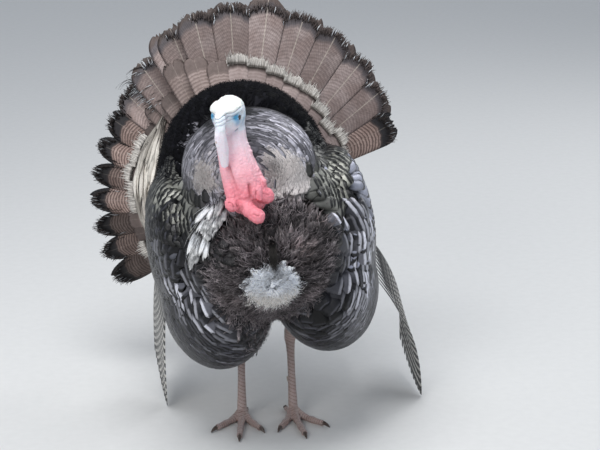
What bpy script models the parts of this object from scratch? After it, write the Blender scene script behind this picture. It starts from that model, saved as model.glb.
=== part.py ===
"""A displaying wild turkey, life size, as a still museum model.

Metres, +Z up. The bird faces -Y, its left side is +X, and it stands on the floor at z = 0.
The trunk is modelled upright and then leaned a little towards the bird's right, as it stands.
Every solid reaches out to the tips of the coat, and touching solids keep a gap of GAP.
"""
import math

import bmesh
import bpy
import numpy as np
from mathutils import Matrix, Vector

# ---------------------------------------------------------------- driving dimensions
GAP = 0.0003                     # between touching pieces

LEAN = math.radians(8.0)         # trunk leans towards the bird's right
LEAN_PIVOT_Z = 0.273             # height of the line that it leans about

TRUNK_CENTRE = Vector((0.0, -0.020, 0.363))
TRUNK_RADII = Vector((0.170, 0.222, 0.168))
BELLY_DEPTH = 0.146              # centre of the trunk down to the belly

CROP_CENTRE = Vector((-0.006, -0.098, 0.493))
CROP_RADII = Vector((0.113, 0.096, 0.100))

MANTLE_CENTRE = Vector((-0.011, 0.032, 0.438))
MANTLE_RADII = Vector((0.149, 0.122, 0.172))

FLANK_CENTRE = Vector((0.094, -0.045, 0.255))
FLANK_RADII = Vector((0.0925, 0.128, 0.119))

WING_CENTRE = Vector((0.146, 0.000, 0.345))
WING_RADII = Vector((0.050, 0.158, 0.130))
WING_DROOP = math.radians(24.0)  # the wing's long axis runs down towards its tip

HEAD_CENTRE = Vector((-0.077, -0.200, 0.605))
HEAD_RADII = Vector((0.0268, 0.0400, 0.0310))
HEAD_YAW = math.radians(-22.0)   # turned to the bird's right
HEAD_PITCH = math.radians(12.0)  # bill held down
EYE_RADIUS = 0.0062
EYE_PLACE = Vector((0.0193, -0.0125, 0.0045))
BILL_LENGTH = 0.033
BILL_WIDTH = 0.0175

SNOOD_LENGTH = 0.084
SNOOD_RADIUS = 0.0092

TAIL_ROOT = Vector((-0.028, 0.165, 0.348))
TAIL_LEAN = math.radians(8.0)    # the fan's plane leans back
FEATHERS = 18                    # tail feathers, nine on each side
FAN_START = math.radians(20.0)   # last feather of the bird's left side, from +X
FAN_END = math.radians(219.0)    # last feather of the bird's right side
LEFT_SWEEP = math.radians(10.0)  # each half of the fan is swept back by its own angle
RIGHT_SWEEP = math.radians(27.0)
LEFT_LENGTH = 0.372              # longest feather of the left side, from the tail's root
RIGHT_LENGTH = 0.306             # shortest feather of the right side, which is swept further back
COVERT_LENGTH = 0.226            # tail coverts at the ends of the fan
COVERT_RISE = 0.058              # how much longer they are over the middle
COVERT_FORWARD = 0.0120          # they lie this far in front of the fan
COVERT_THICKNESS = 0.0040
FAN_HUB = 0.070                  # the sheets start this far from the root, inside the rump
TAIL_THICKNESS = 0.0030
RUMP_RADII = Vector((0.118, 0.040, 0.122))
UNDERTAIL_RADII = Vector((0.078, 0.052, 0.118))
FLIGHT_THICKNESS = 0.0042        # wing feathers where they overlap
VANE_SHARE = 0.86                # of the pitch; the rest is the step down to the next feather
PLEAT = 0.0030                   # height of that step at the tips

HOCK_HEIGHT = 0.142
LEG_SPREAD = 0.044               # each leg from the middle of the bird
SHANK_RADIUS = 0.0072
TOE_LENGTHS = {"inner": 0.066, "middle": 0.092, "outer": 0.070, "hind": 0.030}
TOE_ANGLES = {"inner": 25.0, "middle": -7.0, "outer": -44.0, "hind": 160.0}

UP = Vector((0.0, 0.0, 1.0))


# ---------------------------------------------------------------- scene and materials
def clear_scene():
    for thing in list(bpy.data.objects):
        bpy.data.objects.remove(thing, do_unlink=True)


def paint(name, colour, roughness, metallic=0.0):
    """A plain finish: base colour, roughness and metallic value."""
    material = bpy.data.materials.new(name)
    material.use_nodes = True
    shader = material.node_tree.nodes["Principled BSDF"]
    shader.inputs["Base Color"].default_value = (*colour, 1.0)
    shader.inputs["Roughness"].default_value = roughness
    shader.inputs["Metallic"].default_value = metallic
    return material


def make_finishes():
    return {
        "black": paint("black feather", (0.018, 0.018, 0.020), 0.45),
        "bronze": paint("bronze feather", (0.090, 0.085, 0.060), 0.38, 0.4),
        "wing": paint("barred wing feather", (0.200, 0.195, 0.195), 0.50),
        "tail": paint("brown tail feather", (0.210, 0.150, 0.120), 0.55),
        "covert": paint("pale tail covert", (0.420, 0.360, 0.290), 0.55),
        "red": paint("red skin", (0.780, 0.110, 0.140), 0.42),
        "face": paint("pale blue skin", (0.600, 0.720, 0.820), 0.45),
        "horn": paint("bill horn", (0.420, 0.330, 0.240), 0.40),
        "eye": paint("eye", (0.030, 0.018, 0.012), 0.08),
        "leg": paint("leg scute", (0.380, 0.250, 0.220), 0.50),
        "claw": paint("claw horn", (0.060, 0.045, 0.040), 0.40),
    }


# ---------------------------------------------------------------- mesh helpers
uncut = {}                       # each piece's mesh before it was cut back, by name


def add_object(name, bm, material):
    """Turn a bmesh into a smooth-shaded object in the scene."""
    bmesh.ops.recalc_face_normals(bm, faces=bm.faces)
    mesh = bpy.data.meshes.new(name)
    bm.to_mesh(mesh)
    bm.free()
    mesh.shade_smooth()
    mesh.set_sharp_from_angle(angle=math.radians(50.0))
    mesh.materials.append(material)
    thing = bpy.data.objects.new(name, mesh)
    bpy.context.scene.collection.objects.link(thing)
    return thing


def ball(centre, radii, around=24, along=16, axis="Z"):
    """An ellipsoid as a bmesh, its poles along the given axis."""
    bm = bmesh.new()
    bmesh.ops.create_uvsphere(bm, u_segments=around, v_segments=along, radius=1.0)
    if axis == "Y":
        bmesh.ops.rotate(bm, verts=bm.verts, matrix=Matrix.Rotation(math.radians(90.0), 3, "X"))
    if axis == "X":
        bmesh.ops.rotate(bm, verts=bm.verts, matrix=Matrix.Rotation(math.radians(90.0), 3, "Y"))
    bmesh.ops.scale(bm, verts=bm.verts, vec=radii)
    bmesh.ops.translate(bm, verts=bm.verts, vec=centre)
    return bm


def smooth_path(points, steps):
    """Points on a Catmull-Rom curve through the given points, as numpy rows."""
    knots = np.array([tuple(point) for point in points], float)
    knots = np.vstack([2 * knots[0] - knots[1], knots, 2 * knots[-1] - knots[-2]])
    rows = []
    for t in np.linspace(0.0, len(points) - 1.000001, steps):
        i = int(t)
        f = t - i
        a, b, c, d = knots[i:i + 4]
        rows.append(0.5 * (2 * b + (c - a) * f + (2 * a - 5 * b + 4 * c - d) * f ** 2
                           + (3 * b - a - 3 * c + d) * f ** 3))
    return np.array(rows)


def tube(points, radii, sides=12, steps=10, squash=1.0):
    """A tapered round limb: rings along a smooth path, with domed ends."""
    path = smooth_path([(*point, radius) for point, radius in zip(points, radii)], steps)
    bm = bmesh.new()
    side = None
    rings = []
    for i, (x, y, z, radius) in enumerate(path):
        ahead = Vector(path[min(i + 1, steps - 1)][:3]) - Vector(path[max(i - 1, 0)][:3])
        ahead.normalize()
        if side is None:
            side = ahead.cross(Vector((0.0, 1.0, 0.3))).normalized()
        side = (side - ahead * side.dot(ahead)).normalized()
        frame = Matrix((side, ahead.cross(side) * squash, ahead)).transposed().to_4x4()
        frame.translation = (x, y, z)
        ring = bmesh.ops.create_circle(bm, segments=sides, radius=radius, matrix=frame)["verts"]
        rings.append(ring)
    for low, high in zip(rings, rings[1:]):
        for k in range(sides):
            n = (k + 1) % sides
            bm.faces.new((low[k], low[n], high[n], high[k]))
    for ring, other in ((rings[0], rings[1]), (rings[-1], rings[-2])):
        middle = sum((v.co for v in ring), Vector()) / sides
        inward = sum((v.co for v in other), Vector()) / sides
        reach = (middle - inward).normalized() * (ring[0].co - middle).length * 0.45
        tip = bm.verts.new(middle + reach)
        for k in range(sides):
            bm.faces.new((ring[k], ring[(k + 1) % sides], tip))
    return bm


def evaluated(thing, name):
    """A plain mesh of an object with its modifiers worked out."""
    graph = bpy.context.evaluated_depsgraph_get()
    mesh = bpy.data.meshes.new_from_object(thing.evaluated_get(graph))
    mesh.name = name
    return mesh


def spread(verts):
    """Diagonal of the box round some vertices."""
    places = np.array([vert.co for vert in verts])
    return float(np.linalg.norm(places.max(axis=0) - places.min(axis=0)))


def keep_largest(mesh):
    """Drop all but the biggest closed island, as a cut can leave small ones behind."""
    bm = bmesh.new()
    bm.from_mesh(mesh)
    bmesh.ops.remove_doubles(bm, verts=bm.verts, dist=1e-6)
    waiting = set(bm.verts)
    islands = []
    while waiting:
        queue = [waiting.pop()]
        island = set(queue)
        while queue:
            for edge in queue.pop().link_edges:
                for vert in edge.verts:
                    if vert in waiting:
                        waiting.discard(vert)
                        island.add(vert)
                        queue.append(vert)
        islands.append(island)
    best = max(islands, key=spread)
    for island in islands:
        if island is not best:
            bmesh.ops.delete(bm, geom=list(island), context="VERTS")
    bm.to_mesh(mesh)
    bm.free()


def combine(thing, other, operation):
    """Boolean of one object with another, worked out at once."""
    step = thing.modifiers.new(operation.lower(), "BOOLEAN")
    step.operation = operation
    step.solver = "EXACT"
    step.object = other
    mesh = evaluated(thing, thing.name)
    thing.modifiers.clear()
    thing.data = mesh


def swollen(thing, margin):
    """A hidden copy of an object as it was before any cut, grown by a margin along its normals."""
    bm = bmesh.new()
    bm.from_mesh(uncut.get(thing.name, thing.data))
    bm.normal_update()
    moves = [vert.normal * margin for vert in bm.verts]
    for vert, move in zip(bm.verts, moves):
        vert.co += move
    mesh = bpy.data.meshes.new("cutter")
    bm.to_mesh(mesh)
    bm.free()
    cutter = bpy.data.objects.new("cutter", mesh)
    bpy.context.scene.collection.objects.link(cutter)
    cutter.hide_render = True
    cutter.display_type = "WIRE"
    return cutter


def fit_round(thing, *neighbours, margin=GAP):
    """Cut a piece back so that it clears its neighbours by the gap."""
    uncut[thing.name] = thing.data.copy()
    for neighbour in neighbours:
        cutter = swollen(neighbour, margin)
        combine(thing, cutter, "DIFFERENCE")
        bpy.data.objects.remove(cutter, do_unlink=True)
    keep_largest(thing.data)


def join_into(thing, *others):
    """Union of one object with others, which are then removed."""
    for other in others:
        combine(thing, other, "UNION")
        bpy.data.objects.remove(other, do_unlink=True)
    keep_largest(thing.data)


def flatten_below(thing, level=0.0):
    """Cut a piece off level at the floor."""
    bm = bmesh.new()
    bm.from_mesh(thing.data)
    geometry = list(bm.verts) + list(bm.edges) + list(bm.faces)
    cut = bmesh.ops.bisect_plane(bm, geom=geometry, plane_co=(0, 0, level), plane_no=UP,
                                 clear_inner=True, dist=1e-6)["geom_cut"]
    edges = [part for part in cut if isinstance(part, bmesh.types.BMEdge)]
    bmesh.ops.holes_fill(bm, edges=edges, sides=0)
    bmesh.ops.recalc_face_normals(bm, faces=bm.faces)
    bm.to_mesh(thing.data)
    bm.free()


def leaning():
    """The turn that leans the trunk and all that grows on it."""
    pivot = Matrix.Translation((0.0, 0.0, LEAN_PIVOT_Z))
    return pivot @ Matrix.Rotation(-LEAN, 4, "Y") @ pivot.inverted()


def centre_on_floor():
    """Put the middle of the whole bird's box over the origin."""
    corners = [thing.matrix_world @ Vector(corner) for thing in bpy.data.objects
               for corner in thing.bound_box]
    for axis in (0, 1):
        places = [corner[axis] for corner in corners]
        middle = round((min(places) + max(places)) / 2, 4)
        for thing in bpy.data.objects:
            thing.location[axis] = -middle


def mirrored(vector, side):
    return Vector((vector[0] * side, vector[1], vector[2]))


# ---------------------------------------------------------------- trunk, crop and mantle
def make_trunk(finish):
    """The body without limbs: a deep breast in front and a narrower rump behind."""
    bm = ball(Vector(), Vector((1.0, 1.0, 1.0)), around=22, along=14, axis="Y")
    for vert in bm.verts:
        x, y, z = vert.co
        rump = max(y, 0.0) ** 2
        width = TRUNK_RADII.x * (1.0 - 0.20 * rump)
        height = TRUNK_RADII.z if z > 0 else BELLY_DEPTH
        breast = 0.012 * math.exp(-((y + 1.0) ** 2 + (z + 0.1) ** 2) / 0.25)
        vert.co = Vector((x * width, y * TRUNK_RADII.y - breast, z * height)) + TRUNK_CENTRE
    bm.transform(leaning())
    return add_object("trunk", bm, finish)


def make_crop(finish, trunk):
    """The puffed feathers of the lower neck, a ball behind the bare neck."""
    bm = ball(CROP_CENTRE, CROP_RADII, 18, 12)
    bm.transform(leaning())
    crop = add_object("crop", bm, finish)
    fit_round(crop, trunk)
    return crop


def make_mantle(finish, trunk, crop):
    """The raised dome of the upper back, which slopes down behind to the tail."""
    bm = ball(Vector(), Vector((1.0, 1.0, 1.0)), around=18, along=12)
    for vert in bm.verts:
        x, y, z = vert.co
        back = max(y, 0.0)
        vert.co = Vector((x * MANTLE_RADII.x, y * MANTLE_RADII.y * (1.0 + 0.25 * back),
                          z * MANTLE_RADII.z * (1.0 - 0.10 * back))) + MANTLE_CENTRE
    bm.transform(leaning())
    mantle = add_object("mantle", bm, finish)
    fit_round(mantle, trunk, crop)
    return mantle


def make_flank(side, finish, trunk):
    """The thigh and flank feathers that hang as a lobe on each side of the belly."""
    bm = ball(mirrored(FLANK_CENTRE, side), FLANK_RADII, 18, 12)
    bm.transform(leaning())
    flank = add_object("thigh_left" if side > 0 else "thigh_right", bm, finish)
    fit_round(flank, trunk)
    return flank


# ---------------------------------------------------------------- head and neck
def head_matrix():
    turn = Matrix.Rotation(HEAD_YAW, 4, "Z") @ Matrix.Rotation(HEAD_PITCH, 4, "X")
    return Matrix.Translation(HEAD_CENTRE) @ turn


def make_head(finish, eyes):
    """The skull with its bare skin, narrower towards the bill, with eye sockets."""
    bm = ball(Vector(), Vector((1.0, 1.0, 1.0)), around=16, along=11, axis="Y")
    for vert in bm.verts:
        x, y, z = vert.co
        front = max(-y, 0.0)
        narrow = 1.0 - 0.42 * front ** 2
        jaw = 1.0 - 0.22 * max(-z, 0.0) * (0.4 + front)
        droop = -0.10 * front ** 2
        vert.co = Vector((x * HEAD_RADII.x * narrow * jaw, y * HEAD_RADII.y,
                          (z * (1.0 - 0.28 * front ** 2) + droop) * HEAD_RADII.z))
    bm.transform(head_matrix())
    head = add_object("head", bm, finish)
    fit_round(head, *eyes)
    return head


def make_eye(side, finish):
    name = "eye_left" if side > 0 else "eye_right"
    centre = head_matrix() @ mirrored(EYE_PLACE, side)
    return add_object(name, ball(centre, Vector((EYE_RADIUS,) * 3), 10, 7), finish)


def make_bill(finish, head):
    """The hooked upper bill and the shorter lower bill that closes against it."""
    base = -HEAD_RADII.y * 0.80
    turn = head_matrix()
    upper_path = [Vector((0.0, base, -0.0045)), Vector((0.0, base - 0.4 * BILL_LENGTH, -0.0050)),
                  Vector((0.0, base - 0.8 * BILL_LENGTH, -0.0090)),
                  Vector((0.0, base - 1.1 * BILL_LENGTH, -0.0165))]
    width = BILL_WIDTH / 2
    upper = tube([turn @ p for p in upper_path], [width, 0.80 * width, 0.50 * width, 0.12 * width],
                 9, 6, squash=0.85)
    upper = add_object("bill_upper", upper, finish)
    fit_round(upper, head)
    lower_path = [Vector((0.0, base, -0.0135)), Vector((0.0, base - 0.4 * BILL_LENGTH, -0.0135)),
                  Vector((0.0, base - 0.85 * BILL_LENGTH, -0.0150))]
    lower = tube([turn @ p for p in lower_path], [0.78 * width, 0.60 * width, 0.22 * width],
                 9, 5, squash=0.60)
    lower = add_object("bill_lower", lower, finish)
    fit_round(lower, head, upper)
    return upper, lower


def make_neck(finish, *neighbours):
    """The bare neck, from the throat down to the crop, wider below."""
    path = [HEAD_CENTRE + Vector((0.004, 0.014, -0.006)), Vector((-0.073, -0.200, 0.565)),
            Vector((-0.063, -0.213, 0.523)), Vector((-0.051, -0.218, 0.486)),
            Vector((-0.044, -0.190, 0.462))]
    neck = add_object("neck", tube(path, [0.0240, 0.0250, 0.0300, 0.0350, 0.0300], 13, 8), finish)
    fit_round(neck, *neighbours)
    return neck


def make_snood(finish, *neighbours):
    """The soft finger of skin that hangs from the forehead over the bill."""
    start = head_matrix() @ Vector((0.0, -0.030, 0.0150))
    over = start + Vector((-0.004, -0.016, -0.002))
    path = [start, over, over + Vector((0.000, -0.006, -0.022)),
            over + Vector((0.004, -0.003, -0.052)), over + Vector((0.007, 0.000, 0.006 - SNOOD_LENGTH))]
    r = SNOOD_RADIUS
    snood = add_object("snood", tube(path, [0.95 * r, r, 0.96 * r, 1.02 * r, 0.62 * r], 9, 8), finish)
    fit_round(snood, *neighbours)
    return snood


def make_caruncles(finish, *neighbours):
    """The swollen red lumps at the foot of the bare neck."""
    lumps = [((-0.064, -0.248, 0.468), 0.0165), ((-0.047, -0.254, 0.480), 0.0150),
             ((-0.029, -0.244, 0.490), 0.0145), ((-0.022, -0.234, 0.478), 0.0120),
             ((-0.048, -0.252, 0.458), 0.0150), ((-0.078, -0.232, 0.480), 0.0110),
             ((-0.038, -0.254, 0.456), 0.0140)]
    name = "caruncles"
    balls = [add_object(name if i == 0 else f"lump{i}", ball(Vector(c), Vector((r,) * 3), 7, 5),
                        finish) for i, (c, r) in enumerate(lumps)]
    join_into(balls[0], *balls[1:])
    fit_round(balls[0], *neighbours)
    return balls[0]


def make_beard(finish, *neighbours):
    """The short tuft of bristles on the middle of the breast."""
    path = [(0.006, -0.232, 0.410), (0.006, -0.252, 0.393), (0.005, -0.257, 0.370),
            (0.004, -0.255, 0.350)]
    path = [leaning() @ Vector(point) for point in path]
    beard = add_object("beard", tube(path, [0.0055, 0.0070, 0.0065, 0.0030], 7, 5), finish)
    fit_round(beard, *neighbours)
    return beard


# ---------------------------------------------------------------- wings
def make_wing(side, finish, *neighbours):
    """The folded upper wing with its coverts and shoulder feathers, a lens on the trunk's side."""
    bm = ball(Vector(), WING_RADII, 16, 9, axis="X")
    bmesh.ops.rotate(bm, verts=bm.verts, matrix=Matrix.Rotation(-WING_DROOP, 3, "X"))
    bmesh.ops.translate(bm, verts=bm.verts, vec=WING_CENTRE)
    if side < 0:
        bmesh.ops.scale(bm, verts=bm.verts, vec=(-1.0, 1.0, 1.0))
    bm.transform(leaning())
    wing = add_object("wing_left" if side > 0 else "wing_right", bm, finish)
    fit_round(wing, *neighbours)
    return wing


def pleated_sheet(count, columns, rows, thickness, place):
    """Overlapping long feathers as one closed pleated sheet.

    place(index, across, along) gives a point of feather number index; across and along run 0 to 1.
    """
    bm = bmesh.new()
    total = count * (columns + 1)
    bmesh.ops.create_grid(bm, x_segments=total - 1, y_segments=rows, size=0.5)
    for vert in bm.verts:
        column = round((vert.co.x + 0.5) * (total - 1))
        index, within = divmod(column, columns + 1)
        vert.co = place(index, within / columns, vert.co.y + 0.5)
    bm.normal_update()
    bmesh.ops.solidify(bm, geom=bm.faces, thickness=thickness)
    return bm


def flight_sheet(count, rows, root_at, tip_at, bow, notch=0.045):
    """A row of flight feathers whose roots and tips follow two lines; bow arches them outwards."""
    def place(index, across, along):
        share = (index + VANE_SHARE * across) / count
        root = root_at(share)
        shaft = tip_at(share) - root
        run = tip_at(share + 0.05) - tip_at(share - 0.05)
        normal = shaft.cross(run).normalized()
        reach = along * (1.0 - notch * (2.0 * across - 1.0) ** 2)
        arch = bow * math.sin(math.pi * along) + PLEAT * along * (across - 0.5)
        return root + shaft * reach + normal * arch
    return pleated_sheet(count, 2, rows, FLIGHT_THICKNESS, place)


def make_primaries(side, finish, *neighbours):
    """The long flight feathers of the hand, spread down until their tips rest on the floor.

    The left hand is held well away from the body and the right one hangs close to it.
    """
    if side > 0:
        x_root, x_tip, fold, bow = 0.190, 0.293, -0.030, 0.022
    else:
        x_root, x_tip, fold, bow = -0.1812, -0.190, 0.008, 0.004

    def root_at(share):
        return Vector((x_root, -0.030 + 0.120 * share, 0.262 + 0.040 * share))

    def tip_at(share):
        rise = 0.070 * max(share, 0.0) ** 1.5
        return Vector((x_tip + fold * share, 0.055 + 0.130 * share, rise - 0.005))

    bm = flight_sheet(6, 3, root_at, tip_at, bow * side)
    sheet = add_object("primaries_left" if side > 0 else "primaries_right", bm, finish)
    flatten_below(sheet)
    fit_round(sheet, *neighbours)
    return sheet


def make_secondaries(side, finish, *neighbours):
    """The flight feathers of the forearm, which close the gap between wing and rump."""
    def root_at(share):
        return Vector((side * (0.168 - 0.010 * share), 0.056 + 0.020 * share, 0.290 + 0.130 * share))

    def tip_at(share):
        return Vector((side * (0.186 - 0.020 * share), 0.196 + 0.008 * share, 0.112 + 0.200 * share))

    bm = flight_sheet(6, 2, root_at, tip_at, 0.006 * side)
    sheet = add_object("secondaries_left" if side > 0 else "secondaries_right", bm, finish)
    fit_round(sheet, *neighbours)
    return sheet


# ---------------------------------------------------------------- tail
def fan_shape(share):
    """Length and backward sweep of a tail feather; share runs from the left end to the right."""
    right = min(max((share - 0.40) / 0.20, 0.0), 1.0)
    right = right * right * (3.0 - 2.0 * right)
    if share < 0.48:
        length = LEFT_LENGTH - 0.055 * ((share - 0.29) / 0.27) ** 2
    else:
        length = RIGHT_LENGTH + 0.024 * ((share - 0.80) / 0.27) ** 2
    return length, LEFT_SWEEP + (RIGHT_SWEEP - LEFT_SWEEP) * right


def covert_length(share):
    """Length of a tail covert, longest over the middle of the fan."""
    return COVERT_LENGTH + COVERT_RISE * math.exp(-((share - 0.42) / 0.17) ** 2)


def fan_direction(angle, sweep):
    """The way a tail feather points, from its angle in the fan's plane and its sweep."""
    rise = Vector((0.0, math.sin(TAIL_LEAN), math.cos(TAIL_LEAN)))
    back = Vector((0.0, math.cos(TAIL_LEAN), -math.sin(TAIL_LEAN)))
    flat = Vector((1.0, 0.0, 0.0)) * math.cos(angle) + rise * math.sin(angle)
    return flat * math.cos(sweep) + back * math.sin(sweep), back


def fan_sheet(length_at, thickness, forward, notch, columns):
    """The spread tail as one pleated fan, each feather with a round tip."""
    pitch = (FAN_END - FAN_START) / FEATHERS

    def place(index, across, along):
        turn = index + VANE_SHARE * across
        direction, back = fan_direction(FAN_START + pitch * turn, fan_shape(turn / FEATHERS)[1])
        reach = length_at((index + 0.5) / FEATHERS) * (1.0 - notch * (2.0 * across - 1.0) ** 2)
        point = TAIL_ROOT + direction * (FAN_HUB + (reach - FAN_HUB) * along)
        return point + back * (PLEAT * along * (across - 0.5) - forward)
    return pleated_sheet(FEATHERS, columns, 1, thickness, place)


def make_tail(finish, *neighbours):
    bm = fan_sheet(lambda share: fan_shape(share)[0], TAIL_THICKNESS, 0.0, 0.030, 2)
    tail = add_object("tail", bm, finish)
    fit_round(tail, *neighbours)
    return tail


def make_coverts(finish, *neighbours):
    """The shorter fan of covert feathers laid over the front of the tail."""
    bm = fan_sheet(covert_length, COVERT_THICKNESS, COVERT_FORWARD, 0.0, 1)
    coverts = add_object("tail_coverts", bm, finish)
    fit_round(coverts, *neighbours)
    return coverts


def make_rump(finish, *neighbours):
    """The rump feathers between the mantle and the fan, a low cone round the tail's root."""
    direction, back = fan_direction(math.radians(98.0), LEFT_SWEEP)
    bm = ball(Vector(), RUMP_RADII, 16, 9)
    bmesh.ops.rotate(bm, verts=bm.verts, matrix=Matrix.Rotation(-TAIL_LEAN - LEFT_SWEEP, 3, "X"))
    bmesh.ops.translate(bm, verts=bm.verts, vec=TAIL_ROOT + direction * 0.060 - back * 0.022)
    rump = add_object("rump", bm, finish)
    fit_round(rump, *neighbours)
    return rump


def make_undertail(finish, *neighbours):
    """The soft feathers behind and below the root of the tail, thinner towards the top."""
    bm = ball(Vector(), UNDERTAIL_RADII, 16, 9)
    for vert in bm.verts:
        rise = vert.co.z / UNDERTAIL_RADII.z
        vert.co.y *= 0.85 - 0.35 * rise
        vert.co.x *= 1.0 + 0.15 * rise
        vert.co.y -= 0.020 * max(-rise, 0.0)
    bmesh.ops.rotate(bm, verts=bm.verts, matrix=Matrix.Rotation(-TAIL_LEAN - LEFT_SWEEP, 3, "X"))
    bmesh.ops.translate(bm, verts=bm.verts, vec=TAIL_ROOT + Vector((0.010, 0.036, 0.010)))
    undertail = add_object("undertail", bm, finish)
    fit_round(undertail, *neighbours)
    return undertail


# ---------------------------------------------------------------- legs
def ankle(side):
    """Where the shank meets the toes."""
    return Vector((side * (LEG_SPREAD + 0.002), -0.010, 0.020))


def make_shank(side, finish, flank):
    hock = Vector((side * LEG_SPREAD, 0.022, HOCK_HEIGHT))
    r = SHANK_RADIUS
    path = [hock + Vector((0.0, -0.022, 0.030)), hock, hock.lerp(ankle(side), 0.18),
            hock.lerp(ankle(side), 0.60), ankle(side)]
    shank = add_object("shank_left" if side > 0 else "shank_right",
                       tube(path, [1.60 * r, 1.55 * r, 1.05 * r, 0.98 * r, 1.25 * r], 12, 8), finish)
    fit_round(shank, flank)
    return shank


def toe_direction(toe, side):
    angle = math.radians(TOE_ANGLES[toe]) * (-side)
    return Vector((math.sin(angle), -math.cos(angle), 0.0))


def toe_height(toe, share):
    """Height of a toe's axis: it lies on the floor apart from the raised root."""
    start = 0.017 if toe != "hind" else 0.024
    rest = 0.0056 if toe != "hind" else 0.0048
    return start + (rest - start) * min(share / 0.35, 1.0)


def make_foot(side, finish, shank):
    """Three front toes and the small hind toe, with swollen pads, flat underneath."""
    name = "foot_left" if side > 0 else "foot_right"
    base = ankle(side)
    toes = []
    for toe, length in TOE_LENGTHS.items():
        direction = toe_direction(toe, side)
        points = []
        radii = []
        for k in range(9):
            share = k / 8
            points.append(Vector((base.x, base.y, toe_height(toe, share))) + direction * length * share)
            pad = 1.0 + 0.10 * math.cos(share * math.pi * (6.0 if toe != "hind" else 2.0))
            radii.append((0.0080 - 0.0026 * share) * pad * (1.0 if toe != "hind" else 0.80))
        toes.append(add_object(name if not toes else "toe", tube(points, radii, 6, 7), finish))
    join_into(toes[0], *toes[1:])
    foot = toes[0]
    flatten_below(foot)
    fit_round(foot, shank)
    return foot


def make_claw(side, toe, finish, foot):
    """A blunt curved claw in front of its toe, its tip on the floor."""
    base = ankle(side)
    direction = toe_direction(toe, side)
    start = Vector((base.x, base.y, 0.0)) + direction * (TOE_LENGTHS[toe] - 0.002)
    reach = 0.017 if toe != "hind" else 0.011
    path = [start + UP * 0.0058, start + direction * 0.45 * reach + UP * 0.0062,
            start + direction * reach + UP * 0.0020]
    name = f"claw_{toe}_{'left' if side > 0 else 'right'}"
    claw = add_object(name, tube(path, [0.0042, 0.0036, 0.0010], 6, 4), finish)
    flatten_below(claw)
    fit_round(claw, foot)
    return claw


def make_spur(side, finish, shank):
    """The short conical spur on the back inner side of the shank."""
    root = Vector((side * LEG_SPREAD, 0.022, HOCK_HEIGHT)).lerp(ankle(side), 0.66)
    path = [root, root + Vector((-side * 0.004, 0.008, 0.001)), root + Vector((-side * 0.007, 0.018, 0.004))]
    spur = add_object("spur_left" if side > 0 else "spur_right",
                      tube(path, [0.0048, 0.0040, 0.0012], 6, 5), finish)
    fit_round(spur, shank)
    return spur


# ---------------------------------------------------------------- assembly
def main():
    clear_scene()
    finish = make_finishes()

    trunk = make_trunk(finish["black"])
    crop = make_crop(finish["black"], trunk)
    mantle = make_mantle(finish["black"], trunk, crop)
    flanks = {side: make_flank(side, finish["black"], trunk) for side in (1, -1)}
    wings = {side: make_wing(side, finish["bronze"], trunk, crop, mantle, flanks[side])
             for side in (1, -1)}

    eyes = [make_eye(side, finish["eye"]) for side in (1, -1)]
    head = make_head(finish["face"], eyes)
    upper, lower = make_bill(finish["horn"], head)
    neck = make_neck(finish["red"], head, crop, trunk, lower)
    snood = make_snood(finish["red"], head, upper, lower, neck)
    caruncles = make_caruncles(finish["red"], neck, trunk, crop, snood)
    make_beard(finish["black"], trunk, crop, caruncles)

    rump = make_rump(finish["bronze"], trunk, mantle, *wings.values())
    undertail = make_undertail(finish["black"], trunk, rump)
    make_coverts(finish["covert"], trunk, rump, mantle, undertail)
    make_tail(finish["tail"], trunk, rump, undertail)

    for side in (1, -1):
        primaries = make_primaries(side, finish["wing"], wings[side], trunk, flanks[side])
        make_secondaries(side, finish["wing"], wings[side], trunk, flanks[side], primaries)
        shank = make_shank(side, finish["leg"], flanks[side])
        foot = make_foot(side, finish["leg"], shank)
        for toe in TOE_LENGTHS:
            make_claw(side, toe, finish["claw"], foot)
        make_spur(side, finish["horn"], shank)
    centre_on_floor()


main()
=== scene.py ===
import math

import bmesh
import bpy
import numpy as np
from mathutils import Matrix, Vector, noise
from mathutils.bvhtree import BVHTree
from mathutils.kdtree import KDTree


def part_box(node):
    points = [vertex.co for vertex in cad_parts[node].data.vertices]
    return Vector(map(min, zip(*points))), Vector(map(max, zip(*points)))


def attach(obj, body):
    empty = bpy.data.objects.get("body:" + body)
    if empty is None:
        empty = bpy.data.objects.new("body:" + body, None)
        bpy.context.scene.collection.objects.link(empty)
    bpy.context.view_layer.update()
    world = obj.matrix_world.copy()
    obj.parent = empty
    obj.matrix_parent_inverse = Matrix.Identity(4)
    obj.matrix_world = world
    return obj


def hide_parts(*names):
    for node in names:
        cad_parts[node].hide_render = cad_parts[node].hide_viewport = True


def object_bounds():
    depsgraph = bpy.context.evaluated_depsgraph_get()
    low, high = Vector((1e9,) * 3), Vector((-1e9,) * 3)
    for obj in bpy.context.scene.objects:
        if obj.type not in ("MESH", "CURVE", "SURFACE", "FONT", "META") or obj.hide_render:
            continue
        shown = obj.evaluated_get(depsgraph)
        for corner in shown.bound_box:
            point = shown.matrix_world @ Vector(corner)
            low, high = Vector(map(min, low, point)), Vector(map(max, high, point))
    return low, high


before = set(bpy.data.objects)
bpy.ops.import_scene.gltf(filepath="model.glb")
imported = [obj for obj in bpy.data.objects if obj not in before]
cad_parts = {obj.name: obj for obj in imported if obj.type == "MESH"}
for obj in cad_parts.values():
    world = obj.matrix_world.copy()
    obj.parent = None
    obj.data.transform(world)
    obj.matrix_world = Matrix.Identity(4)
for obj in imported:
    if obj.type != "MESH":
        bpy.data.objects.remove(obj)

cad_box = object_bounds()


# ==== Room =========================================================================
# A pale seamless floor under a big overhead softbox and a weaker one from the front left,
# with the camera a little above the bird, as a visitor looks down on it.

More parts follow.
